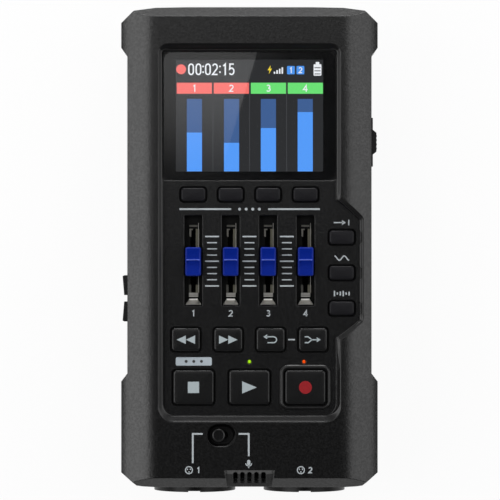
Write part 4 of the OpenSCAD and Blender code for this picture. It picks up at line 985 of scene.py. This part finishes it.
SCREEN_X, SCREEN_Y = 0.015, 38.88
SCREEN_W, SCREEN_H = 42.4, 32.2
GROUND_REACH = 0.4
PANE_TRIM, PANE_CORNER = 0.13, 2.3
BORDER_TRIM, BORDER_LOW, BORDER_HIGH = 0.03, 0.02, 0.06
LIT_LOW, LIT_HIGH = CELL_TOP - PRINT_BED, CELL_TOP + PRINT
METER_X = (-15.87, -5.16, 5.46, 16.08)
METER_TOP, METER_LOW, METER_W = 43.75, 22.85, 4.36
LEVELS = (34.05, 31.1, 35.35, 39.95)
HEAD_X = (-15.88, -5.22, 5.47, 16.12)
HEAD_LOW, HEAD_HIGH, HEAD_W = 45.25, 48.42, 10.13
CLOCK = ((0, -16.82), (0, -14.70), (0, -11.97), (2, -9.95), (1, -7.13), (5, -5.14))
CLOCK_Y, CLOCK_H, CLOCK_STROKE, CLOCK_NARROW = 52.3, 3.4, 0.42, 0.77
COLON_X, COLON_R, COLON_REACH = (-13.37, -8.5), 0.26, 0.82
BADGE_X, BADGE_W, BADGE_LOW, BADGE_HIGH = (11.95, 14.7), 2.24, 50.85, 53.25
BOLT = ((0.25, 1.3), (-0.65, -0.2), (-0.1, -0.2), (-0.3, -1.3), (0.6, 0.3), (0.05, 0.3))

LIT_WHITE = glow("lit_white", (0.9, 0.92, 0.95))
LIT_RED = glow("lit_red", (1.0, 0.18, 0.16))
LIT_GREEN = glow("lit_green", (0.16, 0.80, 0.19))
LIT_BLUE = glow("lit_blue", (0.098, 0.352, 1.0))
LIT_DIM = glow("lit_dim_blue", (0.054, 0.122, 0.305))
LIT_SKY = glow("lit_sky", (0.08, 0.32, 0.9))
LIT_YELLOW = glow("lit_yellow", (1.0, 0.75, 0.05))
LIT_GREY = glow("lit_grey", (0.075, 0.078, 0.085))
LIT_GROUND = glow("lit_ground", (0.027, 0.028, 0.03))


def lit(shape, x, y, lift=0.0):
    """Flat lit shape on the cell."""
    return prism(moved(shape, x, y), LIT_LOW + lift, LIT_HIGH + lift)


def block(x0, x1, y0, y1, radius=0.05, lift=0.0):
    """Rectangle with slightly round corners between two places in X and in Y."""
    return lit(outline(x1 - x0, y1 - y0, radius, 4), (x0 + x1) / 2, (y0 + y1) / 2, lift)


def column(x, width, y0, y1, radius=0.05):
    """Rectangle about a place in X between two places in Y."""
    return block(x - width / 2, x + width / 2, y0, y1, radius)


def lit_numerals(places, y, height, width):
    """Numerals that lie over other lit shapes."""
    return numerals(places, y, height, width, LIT_LOW + PRINT, LIT_HIGH + PRINT)


def show(name, parts, look):
    """Piece of the display."""
    piece(name, parts, look)


pane_low, pane_high = box_of("display_window")
pane_mid = middle_of("display_window")[:2]
pane_w, pane_h = (pane_high - pane_low)[:2] - 2 * PANE_TRIM
pane = prism(outline(pane_w, pane_h, PANE_CORNER, 9) + pane_mid, pane_low[2], pane_high[2])
piece("display_pane", [pane], FINISHES["pane"], stands_for=["display_window"])
inner = outline(SCREEN_W, SCREEN_H, 0.35, 9) + np.array([SCREEN_X, SCREEN_Y])
outer = outline(pane_w - 2 * BORDER_TRIM, pane_h - 2 * BORDER_TRIM, PANE_CORNER - BORDER_TRIM, 9) + pane_mid
border_rings = ring_at(inner, outer, BORDER_LOW, BORDER_HIGH)
border = [at_level(ring, pane_low[2] + lift) for ring, lift in border_rings]
show("pane_border", [skin(border, loop=True)], BLACK_MASK)

ground_w, ground_h = SCREEN_W / 2 + GROUND_REACH, SCREEN_H / 2 + GROUND_REACH
ground = block(
    SCREEN_X - ground_w, SCREEN_X + ground_w, SCREEN_Y - ground_h, SCREEN_Y + ground_h, lift=-PRINT_BED)
show("screen_ground", [ground], LIT_GROUND)
show("meter_bars", [column(x, METER_W, METER_LOW, y) for x, y in zip(METER_X, LEVELS)], LIT_BLUE)
show("meter_backs", [column(x, METER_W, y, METER_TOP) for x, y in zip(METER_X, LEVELS)], LIT_DIM)
heads = [column(x, HEAD_W, HEAD_LOW, HEAD_HIGH) for x in HEAD_X]
show("heads_armed", heads[:2], LIT_RED)
show("heads_ready", heads[2:], LIT_GREEN)
show("head_numbers", lit_numerals(zip(TRACKS, HEAD_X), (HEAD_LOW + HEAD_HIGH) / 2, 2.0, 0.3), LIT_WHITE)
show("screen_lines", [column(x, 0.12, METER_LOW, HEAD_HIGH) for x in (-10.52, 0.02, 10.72)], LIT_GREY)
status = numerals(CLOCK, CLOCK_Y, CLOCK_H, CLOCK_STROKE, LIT_LOW, LIT_HIGH, CLOCK_NARROW)
status += [lit(circle(COLON_R, 16), x, CLOCK_Y + s * COLON_REACH) for x in COLON_X for s in (-1, 1)]
status += [block(18.5, 20.75, 50.45, 53.75, 0.25), block(19.1, 20.15, 53.75, 54.4, 0.15)]
status += [block(7.0 + 0.75 * n, 7.45 + 0.75 * n, 51.0, 51.6 + 0.42 * n) for n in range(4)]
show("clock_and_status", status, LIT_WHITE)
battery_gaps = [block(18.75, 20.5, y - 0.13, y + 0.13, lift=PRINT) for y in (50.95, 51.85, 52.75)]
show("battery_gaps", battery_gaps, LIT_GREY)
show("record_sign", [lit(circle(1.42, 36), -19.7, CLOCK_Y)], LIT_RED)
show("channel_badges", [column(x, BADGE_W, BADGE_LOW, BADGE_HIGH, 0.25) for x in BADGE_X], LIT_SKY)
show("badge_numbers", lit_numerals(zip((1, 2), BADGE_X), (BADGE_LOW + BADGE_HIGH) / 2, 1.65, 0.26), LIT_WHITE)
show("power_bolt", [lit(BOLT, 5.9, 52.2)], LIT_YELLOW)


# Fader tracks: contact strips, guides, tabs and end stops seen in each slot; places are about its middle

SLOT_Y = -2.83
STRIP_X, GUIDE_X, STOP_X = (0.66, 1.7), (-1.3, -0.66), (-1.3, 1.38)
LOW_RUN, HIGH_RUN = (-9.3, -7.0), (-2.0, 9.1)
STOPS = ((-10.49, 0.8), (-10.08, 0.9), (-9.67, 1.0))
STOP_W = 0.34
TAB = ((-1.15, 9.13), (-1.15, 7.1), (-0.9, 6.83), (-0.66, 6.83), (-0.66, 8.8), (-0.22, 8.8), (-0.22, 9.13))
TAB_RISE = 0.7
LIP_ROLL = ((0.02, 0), (0.28, 0), (0.28, 2.4), (0.02, 2.4))


def slot_block(centre, across, along, rise, radius=0.05):
    """Flat piece in a slot between two places across and along it, up to a height over the rail."""
    shape = outline(across[1] - across[0], along[1] - along[0], radius, 3)
    return prism(moved(shape, centre + sum(across) / 2, SLOT_Y + sum(along) / 2), RAIL_TOP, RAIL_TOP + rise)


strips, stops, guides, tabs, lips = [], [], [], [], []
for x in TRACK_X:
    strips += [slot_block(x, STRIP_X, run, 0.2) for run in (LOW_RUN, HIGH_RUN)]
    stops.append(slot_block(x, (1.4, 1.53), (-9.3, 10.8), 0.45, 0.03))
    stops += [slot_block(x, STOP_X, (y, y + STOP_W), rise) for y, rise in STOPS]
    lips.append(turned(LIP_ROLL, (x + 1.2, SLOT_Y - 11.28, RAIL_TOP + 0.85), "-x", 20))
    tabs.append(prism(moved(TAB, x, SLOT_Y), RAIL_TOP, RAIL_TOP + TAB_RISE))
    guides.append(slot_block(x, (-1.18, 1.18), (9.71, 10.23), 0.8, 0.1))
    guides.append(slot_block(x, GUIDE_X, LOW_RUN, 0.2))
for name, parts, look in (
        ("fader_strips", strips, BRASS), ("fader_stops", stops, NICKEL), ("fader_tabs", tabs, PALE_STEEL),
        ("fader_lips", lips, BRIGHT_STEEL), ("fader_guides", guides, DULL_STEEL)):
    piece(name, parts, look)


# Sides and back

FOOT_AT = [(x, y) for x in (-25.0, 25.0) for y in (56.55, -55.05)]
FOOT_PROFILE = (
    (0.5, 0.16), (2.7, 0.14), (3.1, 0.02), (3.6, 0.0), (3.95, 0.1), (4.15, 0.32), (4.2, 0.55), (4.2, 1.8))
RIB_PITCH, RIB_START, ARROW_START = 1.5, 4.0, 14.6
GRIP_BED, GRIP_RISE = 0.05, 0.3
ROCKER_MARK, ROCKER_HALF, ROCKER_STROKE = 3.9, 0.9, 0.42
ROCKER_DROP, ROCKER_FLAT = 0.45, 0.95
ROCKER_SLOPE = ROCKER_DROP / 5.5
USB_PAD_PITCH = 0.5


feet = [turned(FOOT_PROFILE, (x, y, 0)) for x, y in FOOT_AT]
piece("rubber_feet_form", feet, FINISHES["rubber"], stands_for=["rubber_feet"])

door_low, door_high = box_of("battery_door")
grip = (-door_low[2] - GRIP_BED, -door_low[2] + GRIP_RISE, "back")
door_grip = [
    relief(outline(16.0, 0.7, 0.33), 0, -(door_high[1] - RIB_START - RIB_PITCH * n), *grip) for n in range(6)]
door_grip.append(relief(arrow_head(0, -(door_high[1] - ARROW_START), 90, 3.0), 0, 0, *grip))
piece("door_grip", door_grip, CASING, body="door")

rocker_low, _ = box_of("volume_rocker")
rocker_mid = middle_of("volume_rocker")
flat_stroke = ((-ROCKER_HALF, 0.0), (ROCKER_HALF, 0.0))
tall_stroke = ((0.0, -ROCKER_HALF), (0.0, ROCKER_HALF))
rocker_marks = []
for stroke, way in ((flat_stroke, 1), (tall_stroke, 1), (flat_stroke, -1)):
    path = moved(stroke, -way * ROCKER_MARK - rocker_mid[1], rocker_mid[2])
    points, blocks = bar(path, ROCKER_STROKE, -0.1, 0.05)
    reach = np.abs(-points[:, 0] - rocker_mid[1]) - ROCKER_FLAT
    points[:, 2] += -rocker_low[0] - ROCKER_DROP + ROCKER_SLOPE * reach
    rocker_marks.append(faced((points, blocks), "left"))
piece("rocker_marks", rocker_marks, PAINT, "rocker")

_, slide_y, slide_z = middle_of("power_slider")
slide_x = box_of("power_slider")[1][0]
slider_ribs = [
    relief(outline(0.5, 4.6, 0.22), slide_y + y, slide_z, slide_x - 0.1, slide_x + 0.12, "right")
    for y in (-1.8, -0.6, 0.6, 1.8)]
piece("slider_ribs", slider_ribs, FINISHES["small_control"], "slider")

phone_at = (box_of("headphone_socket")[0][0], middle_of("headphone_socket")[1], CONTROL_Z)
phone_ring = turned(ring_at(PHONE_R, PHONE_R + 0.85, -0.1, 0.12), phone_at, "-x", loop=True)
piece("headphone_ring", [phone_ring], NICKEL)
phone_sleeve = turned(ring_at(PHONE_R - 0.12, PHONE_R, -9.0, -0.3), phone_at, "-x", loop=True)
piece("headphone_sleeve", [phone_sleeve], BRASS)

usb_low, usb_high = box_of("usb_socket")
_, usb_y, usb_z = middle_of("usb_socket")
usb_tongue = relief(outline(6.75, 0.82, 0.15), usb_y, usb_z, usb_low[0] + 1.2, usb_high[0] - 1.1, "right")
piece("usb_tongue", [usb_tongue], FINISHES["switch_body"])
usb_pad = outline(0.28, 0.9, 0.05)
usb_pads = [
    relief(usb_pad, usb_y + USB_PAD_PITCH * n, usb_z, usb_low[0] + 2.0, usb_high[0] - 1.5, "right")
    for n in range(-5, 6)]
piece("usb_contacts", usb_pads, BRASS)

pin_sleeves, plug_rings = [], []
for socket in ("jack_insert_a", "jack_insert_b"):
    mouth = box_of(socket)[0][1]
    x, _, z = middle_of(socket)
    for turn in PIN_TURNS:
        place = (x + PIN_CIRCLE * np.cos(turn), mouth, z + PIN_CIRCLE * np.sin(turn))
        pin_sleeves.append(turned(ring_at(PIN_R - 0.18, PIN_R, -9.0, -0.25), place, "-y", 24, loop=True))
    plug_rings.append(turned(ring_at(PLUG_R - 0.15, PLUG_R, -12.0, -1.2), (x, mouth, z), "-y", loop=True))
piece("socket_pins", pin_sleeves, BRASS)
piece("plug_sleeves", plug_rings, NICKEL)

insert_low, insert_high = box_of("tripod_insert")
insert_at = (*middle_of("tripod_insert")[:2], 0)
threads = [
    turned([(TRIPOD_R - 0.4, z + 0.3), (TRIPOD_R, z), (TRIPOD_R, z + 0.6)], insert_at, loop=True)
    for z in np.arange(insert_low[2] + 0.6, insert_high[2] - 1.0, THREAD_PITCH)]
piece("tripod_thread", threads, FINISHES["insert"])


# Floor, lights and camera, in metres

FLOOR_REACH, FLOOR_EVEN = 40, 0.93
CARD_LOW, CARD_HIGH, CARD_Z = 0.03, 0.35, 1.0
CARD_LEFT, CARD_RIGHT_LOW, CARD_RIGHT_HIGH = -0.2, -0.022, 0.075
CARD_FADE, CARD_GLOW = 0.105, 0.8
PALE_TOP, DARK_FROM = 0.24, 0.53
CAMERA_AT = (0.00016, 0.00019, 0.95)
VIEW_HALF, VIEW_DISTANCE = 0.0717, 0.9115


def bare_material(name):
    """Material without a shader: the material, its node tree and the surface it shows."""
    made, tree, _ = new_material(name)
    tree.nodes.remove(tree.nodes["Principled BSDF"])
    return made, tree, tree.nodes["Material Output"].inputs["Surface"]


def mix_shaders(tree, factor, low, high):
    """Mix of two shaders by a factor output."""
    made = add(tree, "ShaderNodeMixShader")
    for socket, value in zip(made.inputs, (factor, low, high)):
        tree.links.new(value, socket)
    return made.outputs[0]


def staged(name, corners, look):
    """Four-cornered sheet with a material, added to the scene."""
    mesh = bpy.data.meshes.new(name)
    mesh.from_pydata(corners, [], [(0, 1, 2, 3)])
    mesh.materials.append(look)
    made = put(bpy.data.objects.new(name, mesh))
    return made


def floor_finish():
    """Pale floor: camera, mirror and glass rays see a mix of even white and lit white, so that the
    shadow stays, and other rays see lit white with a faint mottle."""
    made, tree, surface = bare_material("studio_floor")
    mottle = grain_at(tree, 300, 8)
    matte = add(tree, "ShaderNodeBsdfDiffuse")
    feed(tree, matte.inputs["Color"], colour_mix(tree, mottle["Tone"], (0.86, 0.86, 0.86), (0.9, 0.9, 0.9)))
    even = add(tree, "ShaderNodeEmission")
    rays = add(tree, "ShaderNodeLightPath").outputs
    seen = math_node(tree, "MAXIMUM", rays["Is Camera Ray"], rays["Is Glossy Ray"])
    seen = math_node(tree, "MAXIMUM", seen, rays["Is Transmission Ray"])
    share = math_node(tree, "MULTIPLY", seen, FLOOR_EVEN)
    mixed = mix_shaders(tree, share, matte.outputs[0], even.outputs[0])
    below = add(tree, "ShaderNodeNewGeometry").outputs["Backfacing"]
    clear = add(tree, "ShaderNodeBsdfTransparent").outputs[0]
    tree.links.new(mix_shaders(tree, below, mixed, clear), surface)
    return made


def card_finish():
    """Glow of the reflector, which fades towards its lower end."""
    made, tree, surface = bare_material("glint_card")
    across = axes(tree, place_of(tree))
    even = add(tree, "ShaderNodeEmission")
    fade = ramp(tree, across["Y"], CARD_LOW, CARD_FADE, 0.0, CARD_GLOW, interpolation_type="SMOOTHSTEP")
    feed(tree, even.inputs["Strength"], fade)
    tree.links.new(even.outputs[0], surface)
    return made


def softbox(name, place, target, width, height, radiance):
    """Rectangular soft light of an even radiance that faces a point."""
    data = bpy.data.lights.new(name, "AREA")
    data.shape = "RECTANGLE"
    data.size, data.size_y = width, height
    data.energy = radiance * np.pi * width * height
    made = put(bpy.data.objects.new(name, data))
    made.location = place
    made.rotation_euler = (Vector(target) - Vector(place)).to_track_quat("-Z", "Y").to_euler()


def surround():
    """Studio surround: pale up to a low height, paler towards the display end, dark overhead, and a pale
    backdrop to the camera."""
    made = bpy.data.worlds.new("studio")
    made.use_nodes = True
    tree = made.node_tree
    way = axes(tree, place_of(tree, "Generated"))
    height = ramp(tree, way["Z"], PALE_TOP, DARK_FROM, interpolation_type="SMOOTHSTEP")
    far = math_node(tree, "POWER", math_node(tree, "MULTIPLY_ADD", way["Y"], 0.5, 0.5), 1.6)
    pale = colour_mix(tree, far, (0.3, 0.3, 0.3), (1.3, 1.3, 1.3))
    even = colour_mix(tree, height, pale, (0.04, 0.04, 0.042))
    seen = add(tree, "ShaderNodeLightPath").outputs["Is Camera Ray"]
    backdrop = colour_mix(tree, seen, even, (0.95, 0.95, 0.95))
    tree.links.new(backdrop, tree.nodes["Background"].inputs["Color"])
    return made


floor_corners = [(x * FLOOR_REACH, y * FLOOR_REACH, 0) for x, y in ((-1, -1), (1, -1), (1, 1), (-1, 1))]
staged("studio_floor", floor_corners, floor_finish())

softbox("top_light", (0.0, 0.46, 0.12), (0, 0.03, 0.03), 0.34, 0.14, 11.0)
softbox("ceiling_light", (0.0, 0.36, 1.0), (0, 0.06, 0.03), 0.9, 0.4, 1.0)
softbox("left_light", (-0.386, 0.0, 0.49), (0, 0, 0.03), 0.5, 0.46, 2.75)
softbox("right_light", (0.372, 0.06, 0.5), (0, 0.02, 0.03), 0.5, 0.46, 1.84)
softbox("low_light", (0.0, -0.5, 0.2), (0, 0, 0.03), 0.6, 0.25, 0.3)

# Reflector over the display: a sheet facing down whose right side leans like the glint on the pane
card_corners = [
    (CARD_LEFT, CARD_HIGH, CARD_Z), (CARD_RIGHT_HIGH, CARD_HIGH, CARD_Z), (CARD_RIGHT_LOW, CARD_LOW, CARD_Z),
    (CARD_LEFT, CARD_LOW, CARD_Z)]
card = staged("glint_card", card_corners, card_finish())
card.visible_camera = False
card.visible_shadow = False

bpy.context.scene.world = surround()
camera = put(bpy.data.objects.new("camera", bpy.data.cameras.new("camera")))
camera.location = CAMERA_AT
camera.data.angle = 2 * np.arctan(VIEW_HALF / VIEW_DISTANCE)
bpy.context.scene.camera = camera
bpy.context.scene.view_settings.view_transform = "Standard"
